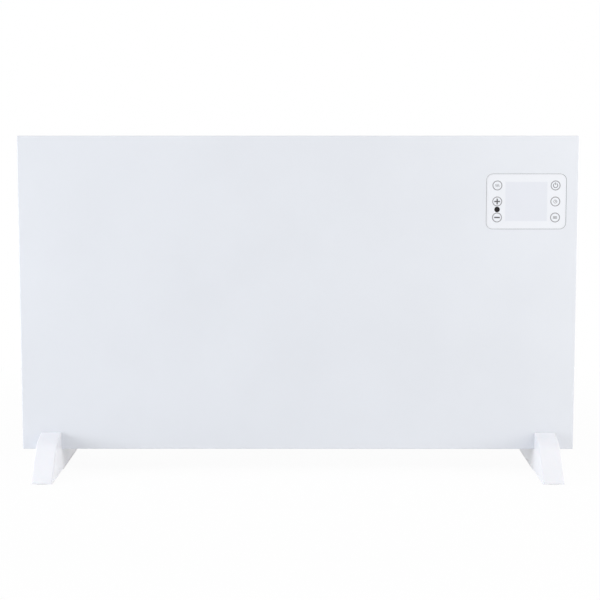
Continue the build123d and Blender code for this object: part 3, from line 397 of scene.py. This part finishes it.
def powder_coat(name, colour, ripple_size, ripple_depth, roughness):
    """Baked powder on sheet steel: a faint drift in colour and gloss, and a shallow ripple."""
    material, tree, shader = new_finish(name, colour, roughness)
    shader.inputs["Specular IOR Level"].default_value = 0.4
    dark_tone = lighter(colour, 1 - paint_drift)
    pale_tone = lighter(colour, 1 + paint_drift)
    shiny = roughness - paint_gloss_spread
    dull = roughness + paint_gloss_spread
    add_two_colours(tree, shader, noise(tree, lump_size=0.12), dark_tone, pale_tone)
    add_gloss_drift(tree, shader, noise(tree, lump_size=0.03), shiny, dull)
    add_grain(tree, shader, noise(tree, ripple_size), ripple_depth)
    return material


finishes = {
    "panel_paint": powder_coat(
        "panel_paint", panel_white, ripple_size=0.0012, ripple_depth=0.00001, roughness=0.42
    ),
    "housing_paint": powder_coat(
        "housing_paint", housing_white, ripple_size=0.0008, ripple_depth=0.00003, roughness=0.5
    ),
}
print("powder coats", list(finishes))

# %% [markdown]
# ## Mouldings
# The feet, the fascia and the outlet grille are injection moulded. The steel mould is spark-eroded, which
# leaves a fine even grain of about 0.3 mm. They could be shaded like the paint, but white plastic lets a
# little light into itself, so a trace of subsurface softens its edges. The feet come from a smoother mould:
# in the picture they catch the light and look a little brighter than the panel. So they are glossier than
# the other mouldings, and not whiter.

# %% Moulded plastics
foot_white = (0.802, 0.810, 0.855)
fascia_white = (0.850, 0.855, 0.870)
grille_white = (0.800, 0.810, 0.830)
nylon_white = (0.780, 0.760, 0.690)
soft_black = (0.022, 0.022, 0.025)
relay_blue = (0.030, 0.110, 0.350)
plastic_drift = 0.015
plastic_gloss_spread = 0.05
light_depth = 0.002


def moulding(name, colour, roughness=0.5, softness=0.03):
    """Spark-eroded moulded plastic. The softness is how much light goes into it."""
    material, tree, shader = new_finish(name, colour, roughness)
    shader.inputs["Subsurface Weight"].default_value = softness
    shader.inputs["Subsurface Scale"].default_value = light_depth
    dark_tone = lighter(colour, 1 - plastic_drift)
    pale_tone = lighter(colour, 1 + plastic_drift)
    shiny = roughness - plastic_gloss_spread
    dull = roughness + plastic_gloss_spread
    add_two_colours(tree, shader, noise(tree, lump_size=0.05), dark_tone, pale_tone)
    add_gloss_drift(tree, shader, noise(tree, lump_size=0.02), shiny, dull)
    add_grain(tree, shader, noise(tree, lump_size=0.0003), depth=0.00002)
    return material


finishes["foot_plastic"] = moulding("foot_plastic", foot_white, roughness=0.3)
finishes["fascia_plastic"] = moulding("fascia_plastic", fascia_white)
finishes["grille_plastic"] = moulding("grille_plastic", grille_white, roughness=0.55)
finishes["natural_nylon"] = moulding("natural_nylon", nylon_white, roughness=0.45, softness=0.08)
finishes["black_plastic"] = moulding("black_plastic", soft_black, roughness=0.42, softness=0.0)
finishes["blue_plastic"] = moulding("blue_plastic", relay_blue, roughness=0.35, softness=0.0)
print("mouldings", [name for name in finishes if "plastic" in name or "nylon" in name])

# %% [markdown]
# ## The film over the controls
# One printed film covers the whole fascia. When the heater is off, the display behind it is only a slightly
# darker square with soft edges, because the white ink there is thin. A second, darker piece could be laid
# on the film, but it would have an edge that catches light. So the square is part of the film's own colour,
# painted by the distance past the display's outline.

# %% Fascia film
film_white = (0.780, 0.799, 0.846)
film_over_display = (0.718, 0.740, 0.799)
film_low, film_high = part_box("fascia_overlay")
film_middle = (film_low + film_high) / 2
display_low, display_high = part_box("display_module")
display_middle = (display_low + display_high) / 2
display_half = (display_high - display_low) / 2
display_soft_edge = 0.0012


def printed_film(name):
    """Satin film with a soft square of thinner ink over the display."""
    material, tree, shader = new_finish(name, film_white, roughness=0.38)
    shader.inputs["Coat Weight"].default_value = 0.15
    shader.inputs["Coat Roughness"].default_value = 0.25
    distance = past_edge(tree, display_middle, display_half, "Z")
    ink = rescaled(tree, distance, (-display_soft_edge, display_soft_edge), curve="SMOOTHSTEP")
    add_two_colours(tree, shader, ink, film_over_display, film_white, low=0, high=1)
    add_grain(tree, shader, noise(tree, lump_size=0.0004), depth=0.000004)
    return material


finishes["fascia_film"] = printed_film("fascia_film")
print("display", [round(2000 * v, 1) for v in (display_half.x, display_half.z)], "mm")

# %% [markdown]
# ## Black window and rubber
# The receiver's window is polished black plastic that lets infrared through. It could be made as tinted
# glass, but nothing behind it may show, so a dark and very smooth shader is enough. The pads, the grommets
# and the gasket are rubber, which is matt and has a dusty grey bloom in patches.

# %% Window and rubber
window_black = (0.010, 0.008, 0.009)
rubber_black = (0.045, 0.045, 0.048)
rubber_bare = (0.035, 0.035, 0.038)
rubber_bloom = (0.060, 0.060, 0.063)


def black_window(name):
    """Polished, almost black plastic with a faint red depth."""
    material, tree, shader = new_finish(name, window_black, roughness=0.12)
    shader.inputs["Specular IOR Level"].default_value = 0.25
    add_gloss_drift(tree, shader, noise(tree, lump_size=0.002), shiny=0.08, dull=0.18)
    return material


def matt_rubber(name):
    """Matt rubber with a grey bloom."""
    material, tree, shader = new_finish(name, rubber_black, roughness=0.85)
    patches = noise(tree, lump_size=0.004, detail=5)
    add_two_colours(tree, shader, patches, rubber_bare, rubber_bloom)
    add_grain(tree, shader, noise(tree, lump_size=0.0005), depth=0.00006)
    return material


finishes["black_lens"] = black_window("black_lens")
finishes["rubber"] = matt_rubber("rubber")
print("window and rubber ready,", len(finishes), "finishes so far")

# %% [markdown]
# ## Steel and zinc
# Zinc-plated screws are bright, with fine turning marks. Galvanised sheet shows spangle: flat crystals that
# zinc forms as it cools. Noise could stand in for it, but a crystal is even in itself and has a sharp edge.
# A cell pattern is made of such patches, so each cell gets its own grey and its own gloss.

# %% Plated steel and galvanised sheet
plated_grey = (0.62, 0.63, 0.65)
sheet_grey = (0.55, 0.57, 0.59)
dark_crystal = (0.48, 0.50, 0.52)
pale_crystal = (0.64, 0.66, 0.68)
crystal_size = 0.009


def plated_steel(name):
    """Zinc-plated steel with fine marks."""
    material, tree, shader = new_finish(name, plated_grey, roughness=0.28, metallic=1.0)
    marks = noise(tree, lump_size=0.0006, detail=4)
    add_gloss_drift(tree, shader, marks, shiny=0.22, dull=0.36)
    add_grain(tree, shader, marks, depth=0.00001)
    return material


def spangled_sheet(name):
    """Galvanised sheet: every zinc crystal has its own grey and gloss."""
    material, tree, shader = new_finish(name, sheet_grey, roughness=0.4, metallic=1.0)
    crystals = tree.nodes.new("ShaderNodeTexVoronoi")
    crystals.inputs["Scale"].default_value = 1 / crystal_size
    tree.links.new(place_on_piece(tree), crystals.inputs["Vector"])
    one_value = tree.nodes.new("ShaderNodeSeparateColor")
    tree.links.new(crystals.outputs["Color"], one_value.inputs["Color"])
    crystal = one_value.outputs["Red"]
    add_two_colours(tree, shader, crystal, dark_crystal, pale_crystal, low=0, high=1)
    add_gloss_drift(tree, shader, crystal, shiny=0.30, dull=0.48)
    return material


finishes["zinc_steel"] = plated_steel("zinc_steel")
finishes["zinc_sheet"] = spangled_sheet("zinc_sheet")
print("crystals", crystal_size * 1000, "mm across")

# %% [markdown]
# ## Aluminium, transformer plates and brass
# Bare aluminium keeps the straight lines of the die or the rollers that it went through, so its noise is
# drawn out fifty times along X. The transformer's core is a stack of thin varnished plates. Each plate
# could be modelled, but it lies deep inside the heater, and bands along Z show the stack well enough.
# Spring brass is tinned in patches.

# %% Aluminium, transformer plates and brass
aluminium_grey = (0.80, 0.81, 0.82)
along_x = (0.02, 1, 1)
core_brown = (0.09, 0.085, 0.08)
varnish_dark = (0.05, 0.045, 0.04)
plate_edge = (0.20, 0.19, 0.18)
plate_bands = 314  # a wave of this scale repeats every millimetre
brass_yellow = (0.75, 0.58, 0.30)
tin_grey = (0.66, 0.62, 0.55)


def drawn_aluminium(name):
    """Extruded or rolled aluminium with lines along X."""
    material, tree, shader = new_finish(name, aluminium_grey, roughness=0.35, metallic=1.0)
    lines = noise(tree, lump_size=0.0006, stretch=along_x, detail=3)
    add_gloss_drift(tree, shader, lines, shiny=0.25, dull=0.42)
    add_grain(tree, shader, lines, depth=0.00002)
    return material


def stacked_laminations(name):
    """Varnished steel plates stacked along Z."""
    material, tree, shader = new_finish(name, core_brown, roughness=0.45, metallic=0.6)
    plates = tree.nodes.new("ShaderNodeTexWave")
    plates.bands_direction = "Z"
    plates.inputs["Scale"].default_value = plate_bands
    tree.links.new(place_on_piece(tree), plates.inputs["Vector"])
    layers = plates.outputs["Fac"]
    add_two_colours(tree, shader, layers, varnish_dark, plate_edge, low=0.2, high=0.8)
    add_grain(tree, shader, layers, depth=0.00005)
    return material


def tinned_brass(name):
    """Spring brass with patches of tin."""
    material, tree, shader = new_finish(name, brass_yellow, roughness=0.3, metallic=1.0)
    add_two_colours(tree, shader, noise(tree, lump_size=0.003, detail=3), brass_yellow, tin_grey)
    return material


finishes["bare_aluminium"] = drawn_aluminium("bare_aluminium")
finishes["laminations"] = stacked_laminations("laminations")
finishes["spring_brass"] = tinned_brass("spring_brass")
print("last three finishes", list(finishes)[-3:])

# %% [markdown]
# ## Circuit boards
# A circuit board is green lacquer over copper, and the copper tracks show through as paler lines. Real
# tracks could be drawn one by one, but nobody sees these boards from near. Bands in two directions, chosen
# by a slow noise, look like tracks that change direction.

# %% Circuit boards
board_green = (0.02, 0.12, 0.05)
lacquer_green = (0.012, 0.085, 0.035)
copper_green = (0.035, 0.190, 0.075)
track_bands = 160  # a wave of this scale repeats every two millimetres


def tracks(tree, direction):
    """Parallel tracks about two millimetres apart."""
    bands = tree.nodes.new("ShaderNodeTexWave")
    bands.bands_direction = direction
    bands.inputs["Scale"].default_value = track_bands
    tree.links.new(place_on_piece(tree), bands.inputs["Vector"])
    return bands.outputs["Fac"]


def circuit_lacquer(name):
    """Green lacquer with paler lines where the copper runs under it."""
    material, tree, shader = new_finish(name, board_green, roughness=0.3)
    choice = tree.nodes.new("ShaderNodeMix")
    tree.links.new(noise(tree, lump_size=0.012), choice.inputs[0])
    tree.links.new(tracks(tree, "X"), choice.inputs[2])
    tree.links.new(tracks(tree, "Z"), choice.inputs[3])
    copper = choice.outputs[0]
    add_two_colours(tree, shader, copper, lacquer_green, copper_green, low=0.5, high=0.6)
    add_grain(tree, shader, copper, depth=0.00004)
    return material


finishes["circuit_board"] = circuit_lacquer("circuit_board")
print("circuit board ready")

# %% [markdown]
# ## Ceramic and wire sleeve
# The element's bushes and the fuse's clip are unglazed ceramic, which is chalky and finely pored. The wires
# run in silicone sleeve, which is smooth with a faint waxy sheen. Colour and height could each have a
# pattern of their own. Here one pattern serves both: on the ceramic the deeper pores are painted darker,
# which is painted shade, and a smear on the sleeve changes its colour and its gloss in the same place.

# %% Ceramic and sleeve
ceramic_white = (0.80, 0.77, 0.70)
# painted shade: the darker colour given to the deepest pores
painted_pore_shade = (0.74, 0.71, 0.64)
ceramic_face = (0.83, 0.80, 0.74)
sleeve_white = (0.74, 0.71, 0.63)
sleeve_dark = (0.71, 0.68, 0.60)
sleeve_pale = (0.77, 0.74, 0.67)


def chalky_ceramic(name):
    """Unglazed ceramic with fine pores, and painted shade that darkens the deeper ones."""
    material, tree, shader = new_finish(name, ceramic_white, roughness=0.8)
    pores = noise(tree, lump_size=0.0006, detail=4)
    # the deeper a pore, the darker its colour: painted shade
    add_two_colours(tree, shader, pores, painted_pore_shade, ceramic_face)
    add_grain(tree, shader, pores, depth=0.00005)
    return material


def silicone_sleeve(name):
    """Heat-proof wire sleeve, off-white and waxy."""
    material, tree, shader = new_finish(name, sleeve_white, roughness=0.5)
    shader.inputs["Sheen Weight"].default_value = 0.2
    smears = noise(tree, lump_size=0.01)
    add_two_colours(tree, shader, smears, sleeve_dark, sleeve_pale)
    add_gloss_drift(tree, shader, smears, shiny=0.4, dull=0.6)
    return material


finishes["white_ceramic"] = chalky_ceramic("white_ceramic")
finishes["wire_sleeve"] = silicone_sleeve("wire_sleeve")
print(len(finishes), "finishes")

# %% [markdown]
# ## Every piece gets its finish
# Each piece could be dressed by hand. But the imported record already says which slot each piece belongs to,
# so the dressing is one loop. A slot without a finish would stop the loop, so no piece is forgotten.

# %% Dress the pieces
slot_of_piece = {piece["node"]: piece["material_slot"] for piece in frame["record"]["subparts"]}
for name, piece in frame["nodes"].items():
    for place in piece.material_slots:
        place.material = finishes[slot_of_piece[name]]
print(len(slot_of_piece), "pieces dressed,", len(set(slot_of_piece.values())), "slots in use")

# %% [markdown]
# ## Printing ink
# The key rings and signs are screen-printed on the film in grey ink, in a layer a few hundredths of a
# millimetre thick. They could be painted in the film's shader, but their edges would blur close up. So each
# mark is a flat filled curve with a hair of thickness, laid on the film, and its edge stays sharp from
# every distance.

# %% Ink and flat shapes
ink_thickness = 0.00004
ink_lift = 0.00001
key_grey = (0.27, 0.27, 0.29)
sign_grey = (0.10, 0.10, 0.11)


def printing_ink(name, colour):
    """Matt ink with a slightly uneven cover."""
    material, tree, shader = new_finish(name, colour, roughness=0.6)
    cover = noise(tree, lump_size=0.0008, detail=3)
    add_two_colours(tree, shader, cover, lighter(colour, 0.9), lighter(colour, 1.1))
    return material


def print_shape(name, outlines, ink, middle, facing, body):
    """Fills flat outlines with ink and lays them at a place. A ring is two outlines, one in the other."""
    shape = bpy.data.curves.new(name, "CURVE")
    shape.dimensions = "2D"
    shape.fill_mode = "BOTH"
    shape.extrude = ink_thickness / 2
    for outline in outlines:
        line = shape.splines.new("POLY")
        line.points.add(len(outline) - 1)
        for point, (x, z) in zip(line.points, outline):
            point.co = (x, z, 0, 1)
        line.use_cyclic_u = True
    shape.materials.append(ink)
    mark = bpy.data.objects.new(name, shape)
    lift = Matrix.Translation((0, 0, ink_lift + ink_thickness / 2))
    mark.matrix_world = Matrix.Translation(middle) @ facing @ lift
    scene.collection.objects.link(mark)
    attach(mark, body)


key_ink = printing_ink("key_ink", key_grey)
symbol_ink = printing_ink("symbol_ink", sign_grey)
print("ink", ink_thickness * 1000, "mm thick")

# %% [markdown]
# ## Outlines to print
# The rings and signs could be traced by hand, point by point. A formula is shorter and keeps them round
# and even. So each outline here is worked out round its own middle: a circle, a ring of two circles, a bar,
# an open band and a wavy line. All the marks are built from these.

# %% Outlines
def circle(radius, x=0.0, z=0.0, steps=64):
    """The points of a circle."""
    angles = [2 * math.pi * i / steps for i in range(steps)]
    return [(x + radius * math.cos(a), z + radius * math.sin(a)) for a in angles]


def ring(radius, width, x=0.0, z=0.0):
    """The two outlines of a closed ring."""
    return [circle(radius + width / 2, x, z), circle(radius - width / 2, x, z)]


def bar(width, height, x=0.0, z=0.0):
    """The corners of a bar."""
    w, h = width / 2, height / 2
    return [(x - w, z - h), (x + w, z - h), (x + w, z + h), (x - w, z + h)]


def band(radius, width, start, end, steps=40):
    """An open ring from one angle to another, in degrees."""
    angles = [math.radians(start + (end - start) * i / steps) for i in range(steps + 1)]
    outer = [((radius + width / 2) * math.cos(a), (radius + width / 2) * math.sin(a)) for a in angles]
    inner = [((radius - width / 2) * math.cos(a), (radius - width / 2) * math.sin(a)) for a in angles]
    return outer + inner[::-1]


def warmth_line(x, height=0.0036, sway=0.00045, width=0.0005, steps=16):
    """One rising wavy line."""
    levels = [i / steps for i in range(steps + 1)]
    middle = [(x + sway * math.sin(2 * math.pi * t), height * (t - 0.5)) for t in levels]
    left = [(px - width / 2, pz) for px, pz in middle]
    right = [(px + width / 2, pz) for px, pz in middle]
    return left + right[::-1]


print("a circle has", len(circle(1)), "points and a wavy line", len(warmth_line(0)))

# %% [markdown]
# ## The signs on the keys
# Plus, minus and the power sign are printed as they are on any heater. The other three keys get plain signs
# of our own: rising warmth, a clock and a list. They could come from a font of symbols, but a few bars and
# bands need no font, and their strokes can be as wide as a printer would make them.

# %% Signs
sign_width = 0.0082
stroke = 0.0019
plus_arm = (sign_width - stroke) / 2
arm_middle = (stroke + plus_arm) / 2
minus = bar(sign_width, stroke)
plus = [minus, *(bar(stroke, plus_arm, z=z) for z in (arm_middle, -arm_middle))]
warmth = [warmth_line(x) for x in (-0.0022, -0.0007, 0.0008, 0.0023)]
power = [band(radius=0.0031, width=0.0009, start=120, end=420), bar(0.0009, 0.0034, z=0.0026)]
clock_hands = [bar(0.0005, 0.0015, z=0.0007), bar(0.0013, 0.0005, x=0.0009)]
clock = [*ring(radius=0.0023, width=0.0005), *clock_hands]
list_lines = [bar(0.0058, 0.0006, z=z) for z in (0.0013, 0.0, -0.0013)]
print("plus", sign_width * 1000, "mm wide, its strokes", stroke * 1000, "mm")

# %% [markdown]
# ## The six keys
# Each touch key is a printed ring 14 mm across. The two columns stand 41.5 mm either side of the fascia's
# middle, and the rows are 22.85 mm apart. Six places could be typed in, but a column and a level for each
# key are enough, and the whole block then stays in line with the film's middle.

# %% Keys
key_column = 0.0415
key_pitch = 0.02285
ring_radius = 0.0064
ring_width = 0.0012
facing_front = Matrix.Rotation(math.radians(90), 4, "X")
signs = {
    "warmth_sign": (-1, 1, warmth),
    "plus_sign": (-1, 0, plus),
    "minus_sign": (-1, -1, [minus]),
    "power_sign": (1, 1, power),
    "clock_sign": (1, 0, clock),
    "list_sign": (1, -1, list_lines),
}


def key_place(column, level):
    """The middle of a key: column -1 or 1, and level 1, 0 or -1 from the top."""
    x = film_middle.x + column * key_column
    z = film_middle.z + level * key_pitch
    return Vector((x, film_low.y, z))


for name, (column, level, outlines) in signs.items():
    place = key_place(column, level)
    side = "left" if column < 0 else "right"
    ring_name = f"key_ring_{side}_{level + 1}"
    print_shape(ring_name, ring(ring_radius, ring_width), key_ink, place, facing_front, "heater")
    print_shape(name, outlines, symbol_ink, place, facing_front, "heater")
    print(name, [round(v * 1000, 1) for v in place])

# %% [markdown]
# ## Marks on the mains rocker
# The mains switch on the right-hand side carries the two standard marks: a bar for on and a ring for off.
# The rocker has two sloping halves that meet in a shallow dip, and at rest it leans to off. Marks laid
# upright would cut into it, so each one first gets the slope of its half and then the lean of the rocker.
# Both ride on the rocker and tilt with it.

# %% Rocker marks
rocker_joint = next(joint for joint in frame["joints"] if joint["child"] == "power_rocker")
rocker_pivot = Vector(rocker_joint["pos_m"])
rocker_tilt = math.radians(10)
rocker_rise = 0.005
rocker_dip = 0.0036
rocker_half = 0.008
mark_ink = printing_ink("mark_ink", (0.75, 0.75, 0.75))


def half_face(side):
    """The middle of a sloping half of the rocker, and the way that it faces, at rest."""
    slope = math.atan2(rocker_rise - rocker_dip, rocker_half)
    middle = Vector(((rocker_rise + rocker_dip) / 2, 0, side * rocker_half / 2))
    lean = Matrix.Rotation(rocker_tilt, 4, "Y")
    outward = Matrix(((0, 0, 1, 0), (1, 0, 0, 0), (0, 1, 0, 0), (0, 0, 0, 1)))
    facing = lean @ Matrix.Rotation(side * slope, 4, "Y") @ outward
    return rocker_pivot + lean.to_3x3() @ middle, facing


for name, side, outlines in (
    ("rocker_on_mark", 1, [bar(0.0007, 0.0035)]),
    ("rocker_off_mark", -1, ring(0.0016, 0.0006)),
):
    middle, facing = half_face(side)
    print_shape(name, outlines, mark_ink, middle, facing, "power_rocker")
    print(name, [round(v * 1000, 1) for v in middle])

# %% [markdown]
# ## Turning a small part
# Screws and rivets are turned parts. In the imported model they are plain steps, which is enough to hold
# things together, but a close view from behind asks for a domed head. A sphere could be squashed into one.
# Turning does it as a lathe would: a profile of radius and height goes round an axis, ring by ring.

# %% Turned shapes
dome_rim_share = 0.35  # the upright rim of a domed head, as a share of its height


def turned(profile, steps):
    """Turns a profile of (radius, height) about Z. Returns the mesh under construction."""
    shape = bmesh.new()
    rings = []
    for radius, height in profile:
        spots = circle(radius, steps=steps) if radius > 0 else [(0, 0)]
        rings.append([shape.verts.new((x, y, height)) for x, y in spots])
    for low, high in zip(rings, rings[1:]):
        for i in range(steps):
            j = (i + 1) % steps
            corners = [low[i % len(low)], low[j % len(low)], high[j % len(high)], high[i % len(high)]]
            shape.faces.new(dict.fromkeys(corners))
    return shape


def dome(radius, height, steps=12):
    """The profile of a domed head, from its rim to its top."""
    angles = [math.pi / 2 * i / steps for i in range(steps)]
    swell = 1 - dome_rim_share
    arc = [(radius * math.cos(a), height * (dome_rim_share + swell * math.sin(a))) for a in angles]
    return [*arc, (0, height)]


print("a dome's profile has", len(dome(1, 1)), "points")

# %% [markdown]
# ## Where the screws and rivets sit
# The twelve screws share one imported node, and so do the rivets. Their places could be typed in again, but
# the node already knows them. Its mesh falls apart into islands, one for each screw or rivet, and each
# island's box says where it sits. Points in the same place are welded first, in case faces don't share
# them, and the boxes are sorted, so that they come in the same order every time.

# %% Islands
weld_distance = 0.000001


def box_of(spots):
    """The low and high corners round some points."""
    low = Vector([min(spot[i] for spot in spots) for i in range(3)])
    high = Vector([max(spot[i] for spot in spots) for i in range(3)])
    return low, high


def islands_of(node):
    """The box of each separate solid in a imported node."""
    shape = bmesh.new()
    shape.from_mesh(frame["nodes"][node].data)
    bmesh.ops.remove_doubles(shape, verts=shape.verts, dist=weld_distance)
    left = set(shape.verts)
    boxes = []
    while left:
        found, queue = set(), [left.pop()]
        while queue:
            point = queue.pop()
            found.add(point)
            for edge in point.link_edges:
                other = edge.other_vert(point)
                if other in left:
                    left.remove(other)
                    queue.append(other)
        boxes.append(box_of([point.co.copy() for point in found]))
    shape.free()
    return sorted(boxes, key=lambda box: tuple(box[0]))


screw_boxes = islands_of("housing_screws")
rivet_boxes = islands_of("rivets")
print(len(screw_boxes), "screws and", len(rivet_boxes), "rivets found")

# %% [markdown]
# ## Copies of one head
# All the screws are alike, and so are the rivets. Each could be an object of its own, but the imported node
# is one piece, and what stands for it is easier to follow as one piece too. So one head is made, and its
# copies are gathered in a single mesh.

# %% Copies
facing_back = Matrix.Rotation(math.radians(-90), 3, "X")


def repeat_at(name, one, places, finish, node):
    """Copies one small shape to every place, facing back, as a single piece that stands for a node."""
    single = bpy.data.meshes.new(name + "_one")
    one.to_mesh(single)
    one.free()
    gathered = bmesh.new()
    for place in places:
        start = len(gathered.verts)
        gathered.from_mesh(single)
        gathered.verts.ensure_lookup_table()
        for point in gathered.verts[start:]:
            point.co = place + facing_back @ point.co
    bpy.data.meshes.remove(single)
    bmesh.ops.recalc_face_normals(gathered, faces=gathered.faces)
    for face in gathered.faces:
        face.smooth = True
    whole = bpy.data.meshes.new(name)
    gathered.to_mesh(whole)
    gathered.free()
    whole.materials.append(finish)
    piece = bpy.data.objects.new(name, whole)
    scene.collection.objects.link(piece)
    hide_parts(node)
    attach(piece, "heater")
    return piece


print("copies face", tuple(round(v) for v in facing_back @ Vector((0, 0, 1))))

# %% [markdown]
# ## Screw heads
# Twelve screws hold the housing to the front panel. Each is turned as a pan head on its shank. The cross
# recess could be cut with a boolean, which leaves ragged faces on so small a head. Instead the cross is
# pressed in: the points near two crossing lines are lowered, less so towards the ends of the cross.

# %% Screws
head_radius = 0.0029
head_height = 0.0019
shank_radius = 0.0014
shank_length = 0.006
shank_point = 0.001
end_share = 0.7  # the flat end of a shank or a rivet's tail, as a share of its radius
cross_width = 0.00045
cross_reach = 0.0017
cross_depth = 0.0011
cross_rise = 0.3  # how much of its depth the cross loses at its ends


def press_cross(shape):
    """Lowers the middle of a head along two crossing lines."""
    for point in shape.verts:
        x, y, z = point.co
        along = max(abs(x), abs(y))
        across = min(abs(x), abs(y))
        if z > 0 and along < cross_reach and across < cross_width:
            point.co.z -= cross_depth * (1 - cross_rise * along / cross_reach)


def screw_mesh():
    """A cross-recessed pan-head screw along Z, with its seat at zero."""
    shank_end = [(0, -shank_length), (end_share * shank_radius, -shank_length)]
    shank = [(shank_radius, shank_point - shank_length), (shank_radius, 0)]
    head = [(head_radius, 0), *dome(head_radius, head_height, steps=24)]
    shape = turned([*shank_end, *shank, *head], steps=48)
    press_cross(shape)
    return shape


def screw_seat(low, high):
    """Where a screw's head sits on the housing's flange, from its box."""
    return Vector(((low.x + high.x) / 2, low.y + shank_length, (low.z + high.z) / 2))


screw_seats = [screw_seat(low, high) for low, high in screw_boxes]
steel = finishes["zinc_steel"]
screws = repeat_at("cross_head_screws", screw_mesh(), screw_seats, steel, "housing_screws")
print(len(screw_seats), "screws, seats at y", round(screw_seats[0].y * 1000, 2), "mm")

# %% [markdown]
# ## Rivet heads
# The sheets inside are held to the rear wall by pop rivets. Seen from behind, each is a low dome with a
# small hollow in the middle, where the pulled pin broke off. Inside the wall its end is swollen. The hollow
# could be cut out of a finished head, but one turned profile, from the tail up to the hollow, gives all of
# it at once.

# %% Rivets
rivet_head_radius = 0.0032
rivet_head_height = 0.001
rivet_body_radius = 0.0016
rivet_grip = 0.0016
rivet_tail_radius = 0.0026
tail_taper = 1.2  # the tail ends this many times deeper than where it is full width
pin_radius = 0.0009
hollow_floor = 0.6 * rivet_head_height
hollow_rim_height = 0.95 * rivet_head_height
hollow_rim_radius = 1.1 * pin_radius
dome_inner_radius = 1.3 * pin_radius


def rivet_mesh():
    """A set pop rivet along Z, with the wall's outer face at zero."""
    tail = -rivet_grip - rivet_head_height
    tail_end = [(0, tail), (end_share * rivet_tail_radius, tail)]
    swelling = [(rivet_tail_radius, tail / tail_taper), (rivet_tail_radius, -rivet_grip)]
    body = [(rivet_body_radius, -rivet_grip), (rivet_body_radius, 0), (rivet_head_radius, 0)]
    head = [point for point in dome(rivet_head_radius, rivet_head_height) if point[0] > dome_inner_radius]
    hollow = [(hollow_rim_radius, hollow_rim_height), (pin_radius, hollow_floor), (0, hollow_floor)]
    return turned([*tail_end, *swelling, *body, *head, *hollow], steps=32)


wall_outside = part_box("rear_housing")[1].y


def rivet_seat(low, high):
    """Where a rivet's head sits on the rear wall, from its box."""
    return Vector(((low.x + high.x) / 2, wall_outside, (low.z + high.z) / 2))


rivet_seats = [rivet_seat(low, high) for low, high in rivet_boxes]
aluminium = finishes["bare_aluminium"]
pop_rivets = repeat_at("pop_rivets", rivet_mesh(), rivet_seats, aluminium, "rivets")
print(len(rivet_seats), "rivets on the wall at y", round(wall_outside * 1000, 2), "mm")
